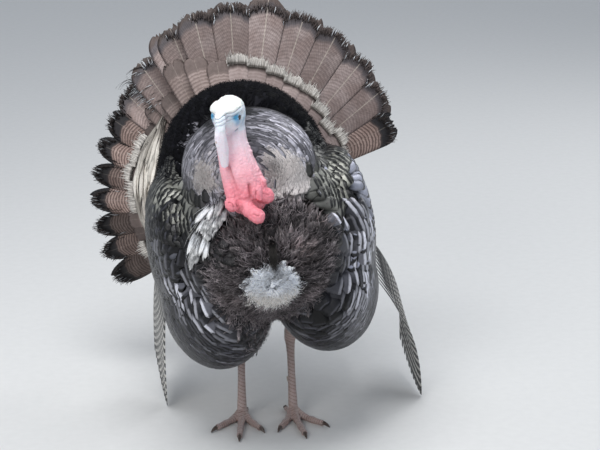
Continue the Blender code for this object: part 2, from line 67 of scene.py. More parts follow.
room = bpy.context.scene
room.view_settings.view_transform = "Standard"
room.world = bpy.data.worlds.new("studio")
room.world.use_nodes = True
sky = room.world.node_tree.nodes["Background"]
sky.inputs["Color"].default_value = (0.80, 0.86, 0.95, 1.0)
sky.inputs["Strength"].default_value = 0.55


def put(tree, kind, inputs=None, **settings):
    """A shader node with its settings and its inputs, each a plain value or another node's output."""
    made = tree.nodes.new("ShaderNode" + kind)
    for key, value in settings.items():
        setattr(made, key, value)
    for key, value in (inputs or {}).items():
        if isinstance(value, bpy.types.NodeSocket):
            tree.links.new(value, made.inputs[key])
        else:
            made.inputs[key].default_value = value
    return made


def mixed(tree, share, low, high):
    """One colour turning into another."""
    return put(tree, "Mix", {0: share, 6: low, 7: high}, data_type="RGBA").outputs[2]


def finish(name, roughness, **fixed):
    """A new material with the plain values on its own sockets; returns it, its tree and its shader."""
    material = bpy.data.materials.new(name)
    material.use_nodes = True
    tree = material.node_tree
    shader = tree.nodes["Principled BSDF"]
    shader.inputs["Roughness"].default_value = roughness
    for key, value in fixed.items():
        shader.inputs[key.replace("_", " ")].default_value = value
    return material, tree, shader


def mesh_from(bm, name, *materials):
    """A bmesh turned into a smooth object at the origin."""
    mesh = bpy.data.meshes.new(name)
    bm.to_mesh(mesh)
    bm.free()
    mesh.shade_smooth()
    for material in materials:
        mesh.materials.append(material)
    thing = bpy.data.objects.new(name, mesh)
    room.collection.objects.link(thing)
    return thing


floor_paint, tree, shader = finish("floor paint", 0.85)
where = put(tree, "TexCoord").outputs["Object"]
speckle = put(tree, "TexNoise", {"Vector": where, "Scale": 60.0, "Detail": 3.0}).outputs["Fac"]
speckled = mixed(tree, speckle, (0.70, 0.70, 0.69, 1), (0.76, 0.76, 0.75, 1))
tree.links.new(speckled, shader.inputs["Base Color"])
FLOOR_HALF = 9.0
bm = bmesh.new()
bmesh.ops.create_grid(bm, x_segments=1, y_segments=1, size=FLOOR_HALF)
ground = mesh_from(bm, "floor", floor_paint)


def softbox(name, place, target, size, power, colour=(1.0, 1.0, 1.0)):
    """A round soft lamp at a place, aimed at a target."""
    lamp = bpy.data.lights.new(name, "AREA")
    lamp.shape = "DISK"
    lamp.size = size
    lamp.energy = power
    lamp.color = colour
    thing = bpy.data.objects.new(name, lamp)
    thing.location = place
    thing.rotation_euler = (Vector(target) - Vector(place)).to_track_quat("-Z", "Y").to_euler()
    room.collection.objects.link(thing)


BIRD_MIDDLE = (cad_box[0] + cad_box[1]) / 2
softbox("overhead softbox", (-0.3, -0.5, 2.6), BIRD_MIDDLE, 1.6, 38.0)
softbox("front softbox", (-1.6, -2.4, 1.9), BIRD_MIDDLE, 1.4, 26.0, (1.0, 0.98, 0.95))
softbox("back softbox", (1.8, 1.8, 2.0), BIRD_MIDDLE, 1.2, 16.0)

CAMERA_PLACE = Vector((-0.2630, -3.0827, 1.2886))
CAMERA_AIM = Vector((0.0631, -0.0379, 0.3580))
camera = bpy.data.cameras.new("camera")
camera.lens = 109.74
camera.sensor_width = 36.0
viewer = bpy.data.objects.new("camera", camera)
viewer.location = CAMERA_PLACE
viewer.rotation_euler = (CAMERA_AIM - CAMERA_PLACE).to_track_quat("-Z", "Y").to_euler()
room.collection.objects.link(viewer)
room.camera = viewer


# ==== Skin =========================================================================
# One unbroken hide from the bill to the toes: bare and wrinkled on head and neck, thin and
# dark under the feathers, horny scutes on shanks and toes. The feathered part lies a coat's
# depth inside the outline of the bird.

FEATHERED = ("trunk", "crop", "mantle", "thigh_left", "thigh_right", "wing_left", "wing_right",
             "rump", "undertail")


def middle(node):
    """The middle of a solid's box."""
    low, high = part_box(node)
    return (low + high) / 2


def merged(*nodes):
    """The solids of some nodes in one bmesh, their doubled corners merged."""
    bm = bmesh.new()
    for node in nodes:
        bm.from_mesh(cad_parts[node].data)
    bmesh.ops.remove_doubles(bm, verts=bm.verts, dist=1e-5)
    return bm


def regrained(bm, grain, rounds):
    """The closed surface round a bmesh, rebuilt with one size of face and smoothed."""
    thing = mesh_from(bm, "rough")
    step = thing.modifiers.new("grain", "REMESH")
    step.mode = "VOXEL"
    step.voxel_size = grain
    step.adaptivity = 0.0
    graph = bpy.context.evaluated_depsgraph_get()
    fine = bpy.data.meshes.new_from_object(thing.evaluated_get(graph))
    bpy.data.objects.remove(thing)
    bm = bmesh.new()
    bm.from_mesh(fine)
    for _ in range(rounds):
        bmesh.ops.smooth_vert(bm, verts=bm.verts, factor=0.5,
                              use_axis_x=True, use_axis_y=True, use_axis_z=True)
    bm.normal_update()
    return bm


def tree_of(*nodes):
    """The surface of some solids, for finding what lies on or near it."""
    bm = merged(*nodes)
    surface = BVHTree.FromBMesh(bm)
    bm.free()
    return surface


def corners_of(bm):
    """Where the corners of a bmesh lie."""
    return np.array([vert.co for vert in bm.verts])


COAT_DEPTH = 0.014
THIN_COAT, FULL_COAT_GAP = 0.15, 0.050      # the coat thins to this share towards bare skin
outline_bm = regrained(merged(*FEATHERED), 0.006, 8)
outline = BVHTree.FromBMesh(outline_bm)
outline_quads = (face for face in outline_bm.faces if len(face.verts) == 4)
outline_corners = np.array([[vert.index for vert in face.verts] for face in outline_quads])
outline_normals = np.array([vert.normal for vert in outline_bm.verts])
bare = tree_of("neck", "shank_left", "shank_right")

for vert in outline_bm.verts:
    gap = bare.find_nearest(vert.co)[3]
    vert.co -= vert.normal * COAT_DEPTH * min(THIN_COAT + gap / FULL_COAT_GAP, 1.0)
core = regrained(outline_bm, 0.0075, 2)

eye_left, eye_right = middle("eye_left"), middle("eye_right")
SIDE = (eye_left - eye_right).normalized()
LEVEL_FRONT = Vector((SIDE.y, -SIDE.x, 0.0))
BILL_DOWN = math.radians(12.0)
FRONT = LEVEL_FRONT * math.cos(BILL_DOWN) - Vector((0, 0, math.sin(BILL_DOWN)))
CROWN = LEVEL_FRONT * math.sin(BILL_DOWN) + Vector((0, 0, math.cos(BILL_DOWN)))
SKULL = (eye_left + eye_right) / 2 - FRONT * 0.0125 - CROWN * 0.0045


def in_head(places):
    """Sideways, forward and upward places in the head's own frame, in metres."""
    return (places - np.array(SKULL)) @ np.array((SIDE, FRONT, CROWN)).T


def both_sides(in_frame):
    """Places in the head's frame with their sideways part unsigned, so both cheeks are one."""
    return np.abs(in_frame) * (1, 0, 0) + in_frame * (0, 1, 1)


def add_ball(bm, centre, radius, squash=(1.0, 1.0, 1.0), fine=2):
    """A ball or egg of flesh."""
    turn = Matrix.Translation(centre) @ Matrix.Diagonal((*squash, 1.0))
    bmesh.ops.create_icosphere(bm, subdivisions=fine, radius=radius, matrix=turn)


def line_gap(points, *stops):
    """How far each point lies from a line through some stops."""
    gaps = []
    for start, end in zip(stops, stops[1:]):
        start = np.array(start)
        run = np.array(end) - start
        share = np.clip((points - start) @ run / (run @ run), 0.0, 1.0)
        gaps.append(np.linalg.norm(points - start - share[:, None] * run, axis=1))
    return np.min(gaps, axis=0)


NECK_FOOT = middle("caruncles") + Vector((0.004, 0.030, 0.006))
bm = merged("head", "neck", "snood")
rng = np.random.default_rng(7)
add_ball(bm, NECK_FOOT + Vector((0.0, 0.020, -0.004)), 0.030)
add_ball(bm, NECK_FOOT + Vector((0.006, 0.052, -0.012)), 0.034)
neck_low, neck_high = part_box("neck")
add_ball(bm, SKULL + CROWN * 0.0125 + FRONT * 0.004, 0.0225, (1.18, 1.25, 0.72), fine=3)
LOBES = (
    # places and radii down each fleshy cord: the cord under the cheek, the round lobe it ends
    # in, the front of the neck, the long lobe it ends in, the wrinkled lobe beside it, and two
    # small folds between them
    ((-0.080, -0.260, 0.524, 0.0100), (-0.074, -0.271, 0.494, 0.0098), (-0.0715, -0.275, 0.482, 0.0095)),
    ((-0.0705, -0.278, 0.4695, 0.0124), (-0.0715, -0.2785, 0.4705, 0.0122)),
    ((-0.062, -0.260, 0.524, 0.0165), (-0.054, -0.267, 0.497, 0.0160), (-0.050, -0.269, 0.480, 0.0145)),
    ((-0.053, -0.275, 0.472, 0.0115), (-0.044, -0.284, 0.460, 0.0118), (-0.032, -0.2895, 0.4515, 0.0120)),
    ((-0.037, -0.268, 0.489, 0.0130), (-0.0265, -0.267, 0.483, 0.0140), (-0.0155, -0.264, 0.478, 0.0128)),
    ((-0.0405, -0.2775, 0.496, 0.0052), (-0.038, -0.279, 0.488, 0.0060), (-0.0385, -0.280, 0.481, 0.0050)),
    ((-0.030, -0.2775, 0.496, 0.0052), (-0.029, -0.279, 0.487, 0.0058), (-0.0285, -0.2795, 0.479, 0.0050)),
)
BALLS_PER_RUN = 7
for stops in LOBES:
    for start, end in zip(stops, stops[1:]):
        for share in np.linspace(0.0, 1.0, BALLS_PER_RUN):
            x, y, z, radius = (a + (b - a) * float(share) for a, b in zip(start, end))
            add_ball(bm, Vector((x, y, z)), radius, fine=3)
SNOOD_ROOT = Vector((-0.0925, -0.2880, 0.5830))
add_ball(bm, SNOOD_ROOT, 0.0066, (1.0, 1.0, 3.0), fine=3)
BEADS = 13
BEAD_TOP, BEAD_FOOT = Vector((-0.046, -0.242, 0.566)), Vector((-0.019, -0.271, 0.498))
for k in range(BEADS):
    # a row of bead-like warts down the bird's left edge of the neck
    share = k / (BEADS - 1)
    spot = BEAD_TOP.lerp(BEAD_FOOT, share) + Vector(rng.normal(0.0, 0.0012, 3))
    add_ball(bm, spot, float(0.0029 + 0.0018 * share + rng.normal(0.0, 0.0004)), fine=1)
LID_BALLS, LID_WIDE, LID_HIGH = 26, 0.0061, 0.0046
for eye, side in ((eye_left, SIDE), (eye_right, -SIDE)):
    outward = ((eye - SKULL).normalized() * 0.3 + side).normalized()
    lid = eye + outward * 0.0030
    for k in range(LID_BALLS):
        turn = 2 * math.pi * k / LID_BALLS
        spot = lid + FRONT * math.cos(turn) * LID_WIDE + CROWN * math.sin(turn) * LID_HIGH
        add_ball(bm, spot + (eye - spot).normalized() * 0.0002, 0.0015, fine=1)
    add_ball(bm, eye + CROWN * 0.0080 - outward * 0.0008, 0.0042, (1.0, 1.5, 0.7))
head_bm = regrained(bm, 0.00112, 2)

places = corners_of(head_bm)
normals = np.array([vert.normal for vert in head_bm.verts])
h = in_head(places)
mirrored = both_sides(h)
down = np.clip((neck_high.z - places[:, 2]) / (neck_high.z - neck_low.z), 0.0, 1.0)
HEAD_FOOT, CAP_RIM = 0.578, 0.6118       # heights where the head meets the neck and the cap starts
on_head = np.clip((places[:, 2] - HEAD_FOOT) / 0.008, 0.0, 1.0)
swirl = np.array([noise.noise(Vector(p) * 130.0) for p in places])
pebble, cluster = (np.array([noise.voronoi(Vector(p) * scale)[0][:2] for p in places])
                   for scale in (270.0, 105.0))
cap_edge = (places[:, 2] - CAP_RIM - 0.50 * np.clip(h[:, 0] - 0.003, 0.0, 0.02)
            - 0.0016 * np.sin(h[:, 0] * 260.0) - 0.0012 * swirl)
folds = np.zeros(len(places))
for below, deep in ((0.0, 1.0), (0.0062, 0.7), (0.0118, 0.6)):
    wavy = cap_edge + below + 0.0009 * np.sin(h[:, 0] * 420.0 + below * 900.0)
    folds += deep * np.exp(-(wavy / 0.00085) ** 2) * (h[:, 1] > 0.006) * on_head
GAPE = np.array(((-0.064, -0.2515, 0.5840), (-0.060, -0.2495, 0.5865)))
gape = np.exp(-(line_gap(mirrored, *both_sides(in_head(GAPE))) / 0.0013) ** 2)
CLEFTS = (((-0.078, -0.270, 0.532), (-0.0705, -0.281, 0.508), (-0.064, -0.286, 0.488),
           (-0.061, -0.290, 0.474), (-0.059, -0.288, 0.462)),
          ((-0.044, -0.283, 0.502), (-0.0425, -0.287, 0.485), (-0.030, -0.287, 0.472),
           (-0.019, -0.280, 0.464)))
clefts = sum(np.exp(-(line_gap(places, *stops) / 0.0030) ** 2) for stops in CLEFTS)
SQUIGGLES = (((-0.079, -0.2870, 0.4760), (-0.0735, -0.2905, 0.4755), (-0.0700, -0.2905, 0.4690)),
             ((-0.066, -0.2895, 0.4745), (-0.0640, -0.2880, 0.4680)),
             ((-0.042, -0.2955, 0.4590), (-0.0340, -0.3005, 0.4560), (-0.0290, -0.3010, 0.4565)),
             ((-0.023, -0.2795, 0.4870), (-0.0130, -0.2750, 0.4830)),
             ((-0.034, -0.2835, 0.4930), (-0.0335, -0.2845, 0.4850), (-0.0350, -0.2850, 0.4770)))
squiggles = sum(np.exp(-(line_gap(places, *stops) / 0.0011) ** 2) for stops in SQUIGGLES)
knobs = np.clip((0.62 - pebble[:, 0]) / 0.62, 0.0, 1.0) ** 0.7
seams = np.clip(1.0 - (cluster[:, 1] - cluster[:, 0]) / 0.16, 0.0, 1.0)
low_neck = np.clip((down - 0.45) / 0.25, 0.0, 1.0)
off_head = 1.0 - on_head
shift = (0.0015 * knobs * off_head * (0.25 + 0.70 * down) - 0.0008 * seams * low_neck - 0.0040 * clefts
         - 0.0010 * squiggles - 0.0009 * folds + 0.0012 * swirl * on_head - 0.0006 * gape
         + 0.0007 * np.clip(cap_edge / 0.003, 0.0, 1.0) * on_head)
for vert, normal, move in zip(head_bm.verts, normals, shift):
    vert.co += Vector(normal) * float(move)
head_bm.normal_update()

leg_bm = merged("shank_left", "shank_right", "foot_left", "foot_right")
for side in ("left", "right"):
    low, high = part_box("shank_" + side)
    top = Vector(((low.x + high.x) / 2, high.y - 0.016, high.z))
    inside = middle("thigh_" + side)
    for share in (0.0, 0.12, 0.25, 0.4):
        add_ball(leg_bm, top.lerp(inside, share) - Vector((0, 0, 0.004)), 0.0125 + 0.030 * share)
leg_bm = regrained(leg_bm, 0.00140, 1)
leg_places = corners_of(leg_bm)
SHANK_SCUTE, TOE_SCUTE = 0.0062, 0.0048     # heights of the horny plates
FOOT_HIGH, SOLE_HIGH = 0.022, 0.003
GROOVE_DEEP = 0.00045
ring = np.abs(np.sin(leg_places[:, 2] * math.pi / SHANK_SCUTE + 2.2 * leg_places[:, 0] / 0.01))
toe_run = np.hypot(np.abs(leg_places[:, 0]) - 0.046, leg_places[:, 1] + 0.044)
toe_ring = np.abs(np.sin(toe_run * math.pi / TOE_SCUTE))
scute = np.where(leg_places[:, 2] > FOOT_HIGH, ring, toe_ring)
groove = np.exp(-(scute / 0.22) ** 2) * (leg_places[:, 2] > SOLE_HIGH)
leg_bm.normal_update()
for vert, deep in zip(leg_bm.verts, groove):
    vert.co -= vert.normal * float(deep) * GROOVE_DEEP


def calc(tree, operation, a, b=0.0, c=0.0):
    """One step of arithmetic between values."""
    return put(tree, "Math", {0: a, 1: b, 2: c}, operation=operation).outputs[0]


def ease(tree, value, start, end):
    """0 below start, 1 above end, smooth between them."""
    made = put(tree, "MapRange", {"Value": value, "From Min": start, "From Max": end},
               interpolation_type="SMOOTHSTEP")
    return made.outputs["Result"]


def bumped(tree, shader, height, strength, distance):
    """A bump from a height that changes over the surface."""
    bump = put(tree, "Bump", {"Height": height, "Strength": strength, "Distance": distance})
    tree.links.new(bump.outputs["Normal"], shader.inputs["Normal"])


hide, tree, shader = finish("bare skin", 0.34, Subsurface_Weight=0.12, Subsurface_Scale=0.004)
shader.inputs["Subsurface Radius"].default_value = (1.0, 0.35, 0.25)
where = put(tree, "TexCoord").outputs["Object"]
fine = put(tree, "TexNoise", {"Vector": where, "Scale": 420.0, "Detail": 4.0}).outputs["Fac"]
broad = put(tree, "TexNoise", {"Vector": where, "Scale": 70.0, "Detail": 3.0}).outputs["Fac"]
cells = put(tree, "TexVoronoi", {"Vector": where, "Scale": 520.0}, feature="DISTANCE_TO_EDGE")
cells = cells.outputs["Distance"]
mask = {name: put(tree, "Attribute", attribute_name=name).outputs["Fac"]
        for name in ("warmth", "blue", "crown", "crease_shade", "covered", "pale", "leg")}
warm = calc(tree, "ADD", mask["warmth"], calc(tree, "MULTIPLY_ADD", broad, 0.20, -0.10))
tone = mixed(tree, ease(tree, warm, 0.02, 0.20), (0.83, 0.93, 1.0, 1), (0.92, 0.83, 0.91, 1))
tone = mixed(tree, ease(tree, warm, 0.18, 0.55), tone, (0.95, 0.54, 0.61, 1))
tone = mixed(tree, ease(tree, warm, 0.45, 1.00), tone, (0.95, 0.19, 0.25, 1))
tone = mixed(tree, calc(tree, "MULTIPLY", ease(tree, cells, 0.10, 0.0), 0.20), tone, (0.75, 0.20, 0.24, 1))
tone = mixed(tree, mask["blue"], tone, (0.075, 0.39, 0.67, 1))
tone = mixed(tree, mask["crown"], tone, (0.93, 0.95, 0.92, 1))
# painted shade in the creases: dark blue-grey in the folds of the face, dark red in the clefts and creases of
# the neck and lobes
deep = mixed(tree, ease(tree, mask["warmth"], 0.25, 0.50), (0.10, 0.16, 0.24, 1), (0.30, 0.012, 0.022, 1))
tone = mixed(tree, calc(tree, "MULTIPLY", mask["crease_shade"], 0.80), tone, deep)
leg_tone = mixed(tree, broad, (0.34, 0.24, 0.215, 1), (0.48, 0.38, 0.355, 1))
# painted shade in the grooves between the scutes
leg_tone = mixed(tree, mask["crease_shade"], leg_tone, (0.09, 0.05, 0.045, 1))
tone = mixed(tree, mask["leg"], tone, leg_tone)
under = mixed(tree, ease(tree, mask["pale"], 0.0, 0.5), (0.014, 0.011, 0.010, 1), (0.20, 0.18, 0.16, 1))
under = mixed(tree, ease(tree, mask["pale"], 0.5, 1.0), under, (0.60, 0.64, 0.70, 1))
tone = mixed(tree, mask["covered"], tone, under)
tree.links.new(tone, shader.inputs["Base Color"])
bumped(tree, shader, calc(tree, "MULTIPLY_ADD", cells, 1.2, fine), 0.50, 0.0009)

snood_low, snood_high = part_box("snood")
on_snood = ((places[:, 1] < snood_high.y - 0.016) & (places[:, 2] > snood_low.z - 0.004)
            & (places[:, 0] < snood_high.x) & (places[:, 2] < snood_high.z))
# blue skin in front of, under and behind each eye: a place, its radius and its strength
BLUE_SPOTS = (((-0.0635, -0.260, 0.6085), 0.0070, 1.2), ((-0.058, -0.258, 0.598), 0.0065, 0.6),
              ((-0.050, -0.238, 0.600), 0.010, 0.55))
teal = np.zeros(len(places))
for spot, radius, gain in BLUE_SPOTS:
    gap = np.linalg.norm(mirrored - both_sides(in_head(np.array(spot))), axis=1)
    teal += gain * np.exp(-(gap / radius) ** 2)
neck_warmth = np.minimum(0.16 + 0.98 * down ** 1.15, 0.80)
face_warmth = np.clip(0.09 - h[:, 2] * 6.0, 0.0, 0.16) * (1.0 - 0.5 * (h[:, 1] < 0.012))
warmth = np.where(on_snood, 0.15 + 0.03 * np.sin(places[:, 2] * 60.0), neck_warmth)
warmth = np.where(on_head > 0.5, face_warmth, warmth)
blue = np.clip(teal, 0.0, 1.0) * (places[:, 2] < 0.616) * ~on_snood
crown = np.clip((cap_edge + 0.0005) / 0.0015, 0.0, 1.0) * on_head
# painted shade on the undersides of the lower neck and lobes, where they face the floor
underside_shade = np.clip((-normals[:, 2] - 0.25) / 0.5, 0.0, 1.0)
underside_shade = underside_shade * (places[:, 2] < 0.500) * (places[:, 1] < -0.255)
# painted shade in the folds under the cap, the gape, the clefts and squiggled creases of the lobes and the
# wrinkle seams of the lower neck
crease_shade = np.clip(0.55 * underside_shade + folds + gape + 0.9 * squiggles + 0.75 * clefts
                 + 0.12 * seams * low_neck, 0.0, 1.0)
leg_covered = np.clip((leg_places[:, 2] - 0.165) / 0.01, 0.0, 1.0)
TRUNK, CROP = middle("trunk"), middle("crop")
DOWN_PATCH = TRUNK + Vector((0.005, -0.210, -0.045))        # the white patch on the breast
core_places = corners_of(core)
on_patch = np.exp(-(np.linalg.norm(core_places - np.array(DOWN_PATCH), axis=1) / 0.038) ** 4)
on_crop = np.exp(-(np.linalg.norm(core_places - np.array(CROP), axis=1) / 0.095) ** 4)
core_none, head_none, leg_none = (np.zeros(len(part)) for part in (core_places, places, leg_places))
markings_and_shade = {
    # each marking, and the painted shade in creases, on the feathered core, on head and neck, and on the legs
    "pale": (np.maximum(on_patch, 0.40 * on_crop), head_none, leg_none),
    "warmth": (core_none, warmth, leg_none),
    "blue": (core_none, blue, leg_none),
    "crown": (core_none, crown, leg_none),
    "crease_shade": (core_none, crease_shade, groove),
    "covered": (core_none + 1.0, head_none, leg_covered),
    "leg": (core_none, head_none, leg_none + 1.0),
}
source = KDTree(len(core.verts) + len(places) + len(leg_places))
for i, vert in enumerate(vert for part in (core, head_bm, leg_bm) for vert in part.verts):
    source.insert(vert.co, i)
source.balance()

skin = mesh_from(core, "skin", hide)
for part in (head_bm, leg_bm):
    other = mesh_from(part, "bare part", hide)
    step = skin.modifiers.new("union", "BOOLEAN")
    step.operation = "UNION"
    step.object = other
    graph = bpy.context.evaluated_depsgraph_get()
    skin.data = bpy.data.meshes.new_from_object(skin.evaluated_get(graph))
    skin.modifiers.clear()
    bpy.data.objects.remove(other)
nearest = np.array([source.find(vert.co)[1] for vert in skin.data.vertices])
for key, parts in markings_and_shade.items():
    values = np.concatenate(parts)[nearest].astype(np.float32)
    skin.data.attributes.new(key, "FLOAT", "POINT").data.foreach_set("value", values)
skin.data.shade_smooth()
skin.data.name = "skin"
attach(skin, "root")
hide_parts(*FEATHERED, "head", "neck", "snood", "caruncles",
            "shank_left", "shank_right", "foot_left", "foot_right")


# ==== Eyes, bill, claws and spurs ==================================================
# The wet dark eyes sit in their lids; bill, claws and spurs are worn horn with darker
# streaks. All keep the shape of their solids.

wet, tree, shader = finish("dark wet eye", 0.06, Coat_Weight=1.0, Coat_Roughness=0.02)
where = put(tree, "TexCoord").outputs["Object"]
fleck = put(tree, "TexNoise", {"Vector": where, "Scale": 900.0, "Detail": 2.0}).outputs["Fac"]
iris = mixed(tree, fleck, (0.030, 0.014, 0.008, 1), (0.055, 0.026, 0.014, 1))
tree.links.new(iris, shader.inputs["Base Color"])


def horn(name, dark, pale, roughness):
    """Worn horn, streaked along its length."""
    material, tree, shader = finish(name, roughness)
    where = put(tree, "TexCoord").outputs["Object"]
    streak = put(tree, "Mapping", {"Vector": where, "Scale": (500.0, 500.0, 120.0)}).outputs[0]
    grain = put(tree, "TexNoise", {"Vector": streak, "Scale": 1.0, "Detail": 4.0}).outputs["Fac"]
    streaked = mixed(tree, ease(tree, grain, 0.3, 0.7), (*dark, 1), (*pale, 1))
    tree.links.new(streaked, shader.inputs["Base Color"])
    bumped(tree, shader, grain, 0.25, 0.0004)
    return material


bill_horn = horn("bill horn", (0.30, 0.20, 0.13), (0.55, 0.45, 0.36), 0.38)
claw_horn = horn("claw horn", (0.035, 0.025, 0.022), (0.12, 0.085, 0.070), 0.35)
for node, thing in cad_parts.items():
    kind = node.split("_")[0]
    chosen = {"eye": wet, "bill": bill_horn, "claw": claw_horn, "spur": bill_horn}.get(kind)
    if chosen:
        thing.data.materials.clear()
        thing.data.materials.append(chosen)


# ==== Feathers: how each one is made ===============================================
# Every feather is a thin closed vane, crowned across, that follows the body from its quill
# to its tip and lifts a little, so that each row lies on the next like tiles. A tract is one
# mesh of many such vanes.

def vane_form(columns, rows):
    """A flat closed vane: across -1 to 1, along 0 to 1 and which face each corner is on."""
    bm = bmesh.new()
    bmesh.ops.create_grid(bm, x_segments=columns, y_segments=rows, size=0.5)
    bm.normal_update()
    bmesh.ops.solidify(bm, geom=bm.faces, thickness=0.2)
    centre = sum(v.co.z for v in bm.verts) / len(bm.verts)
    for vert in bm.verts:
        if max(abs(vert.co.x), abs(vert.co.y)) > 0.499:
            vert.co.z = centre
    bmesh.ops.remove_doubles(bm, verts=bm.verts, dist=0.01)
    across = np.array([v.co.x * 2.0 for v in bm.verts])
    row = np.array([round((v.co.y + 0.5) * rows) for v in bm.verts])
    face = np.array([(v.co.z > centre + 0.05) * 1.0 - (v.co.z < centre - 0.05) * 1.0 for v in bm.verts])
    quads = np.array([[v.index for v in side.verts] for side in bm.faces if len(side.verts) == 4])
    bm.free()
    stations = 1.0 - (1.0 - np.linspace(0.0, 1.0, rows + 1)) ** 1.5
    column = np.rint((across + 1.0) / 2.0 * columns).astype(int)
    return {"across": across, "row": row, "face": face, "quads": quads, "stations": stations,
            "column": column}


small_vane = vane_form(4, 6)
broad_vane = vane_form(4, 8)
hair = vane_form(2, 4)
hair_rows = hair["stations"][None, :, None]


def unit(vectors):
    """Vectors of the same ways, one long."""
    return vectors / np.maximum(np.linalg.norm(vectors, axis=-1, keepdims=True), 1e-9)


def square_tip(share):
    """The half width along a feather with a broad blunt end."""
    tip = np.clip(1.0 - ((share - 0.80) / 0.22).clip(0) ** 2, 0.12, 1.0)
    return np.clip(share / 0.35, 0.22, 1.0) * np.sqrt(tip)


def round_tip(share):
    """The half width along a feather that rounds off from its middle."""
    tip = np.clip(1.0 - ((share - 0.60) / 0.41).clip(0) ** 2, 0.02, 1.0)
    return np.clip(share / 0.45, 0.22, 1.0) * np.sqrt(tip)


def strand(share):
    """The half width along a bristle or a loose barb."""
    return 1.0 - 0.80 * share ** 1.5


PATCH_SIZE = 0.0030                         # of a small feather on the chart


def near_spots(roots, spots, base=0.0):
    """A value for each root that rises near some places: each spot is (place, radius, gain)."""
    value = np.full(len(roots), base)
    for place, radius, gain in spots:
        value += gain * np.exp(-(np.linalg.norm(roots - np.array(place), axis=1) / radius) ** 2)
    return value


def stamp(name, form, spine, up, half, material, slot, camber=0.22, thick=0.00025, roll=0.0, ragged=0.0,
          tone=None, light=None, seed=1, strip=False):
    """One mesh of many vanes from their centre lines; spine and up are feathers x stations x 3.
    Each vane is charted as a small patch at its root's place on the body seen from the middle
    of the trunk, or, for a strip of long feathers, in a column of its own."""
    rng = np.random.default_rng(seed)
    count = len(spine)
    tangent = unit(np.gradient(spine, axis=1))
    sideways = unit(np.cross(tangent, up))
    facing = np.cross(sideways, tangent)
    turn = rng.normal(0.0, 1.0, count)[:, None, None] * roll
    sideways, facing = (sideways * np.cos(turn) + facing * np.sin(turn),
                        facing * np.cos(turn) - sideways * np.sin(turn))
    row, across, face, stations = form["row"], form["across"], form["face"], form["stations"]
    width = half[:, row, None]
    torn = rng.normal(0.0, ragged, (count, form["column"].max() + 1))[:, form["column"]]
    torn = torn * np.clip((stations[row] - 0.80) / 0.20, 0.0, 1.0)
    reach = np.linalg.norm(spine[:, -1] - spine[:, 0], axis=-1)[:, None, None]
    crown = (camber * width * (0.7 - across[None, :, None] ** 2) + thick * face[None, :, None])
    points = (spine[:, row] + sideways[:, row] * across[None, :, None] * width + facing[:, row] * crown
              + tangent[:, row] * torn[:, :, None] * reach)
    corners = (form["quads"][None] + (np.arange(count) * len(row))[:, None, None]).reshape(-1, 4)
    a, b, c, d = (points.reshape(-1, 3)[corners[:, k]] for k in range(4))
    volume = float((a * np.cross(b, c)).sum() + (a * np.cross(c, d)).sum())
    if volume < 0.0:
        corners = corners[:, ::-1]
    mesh = bpy.data.meshes.new(name)
    mesh.vertices.add(count * len(row))
    mesh.vertices.foreach_set("co", points.astype(np.float32).ravel())
    mesh.loops.add(corners.size)
    mesh.loops.foreach_set("vertex_index", corners.astype(np.int32).ravel())
    mesh.polygons.add(len(corners))
    mesh.polygons.foreach_set("loop_start", np.arange(0, corners.size, 4, dtype=np.int32))
    mesh.update(calc_edges=True)
    along = np.tile(stations[row], count)
    values = {"along": along, "across": np.tile(across, count),
              "chance": np.repeat(rng.uniform(0.0, 1.0, count), len(row)),
              "tone": np.repeat(np.zeros(count) if tone is None else tone, len(row)),
              "light": np.repeat(np.ones(count) if light is None else light, len(row))}
    for key, value in values.items():
        mesh.attributes.new(key, "FLOAT", "POINT").data.foreach_set("value", value.astype(np.float32))
    if strip:
        u = (np.repeat(np.arange(count), len(row)) + 0.5 + 0.46 * values["across"]) / count
        v = 0.01 + 0.98 * along
    else:
        out = unit(spine[:, 0] - np.array(TRUNK))
        u = np.repeat(np.arctan2(out[:, 0], -out[:, 1]) / (2.02 * math.pi) + 0.5, len(row))
        v = np.repeat(np.arccos(np.clip(out[:, 2], -1, 1)) / (1.02 * math.pi) + 0.005, len(row))
        u = u + PATCH_SIZE / 2 * values["across"]
        v = v + PATCH_SIZE * (0.5 - along)
    chart = mesh.uv_layers.new(name="OFBake")
    flat = corners.ravel()
    chart.data.foreach_set("uv", np.stack((u[flat], v[flat]), axis=1).astype(np.float32).ravel())
    mesh.shade_smooth()
    mesh.materials.append(material)
    thing = bpy.data.objects.new(name, mesh)
    room.collection.objects.link(thing)
    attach(thing, "root")
    return thing


def stamp_hairs(name, spine, facing, half_width, material, slot, **more):
    """Bristles or loose barbs from their centre lines and the one way that each of them faces."""
    half = np.full((len(spine), 1), half_width) * strand(hair["stations"])[None]
    up = np.repeat(facing[:, None], len(hair["stations"]), axis=1)
    return stamp(name, hair, spine, up, half, material, slot, **more)


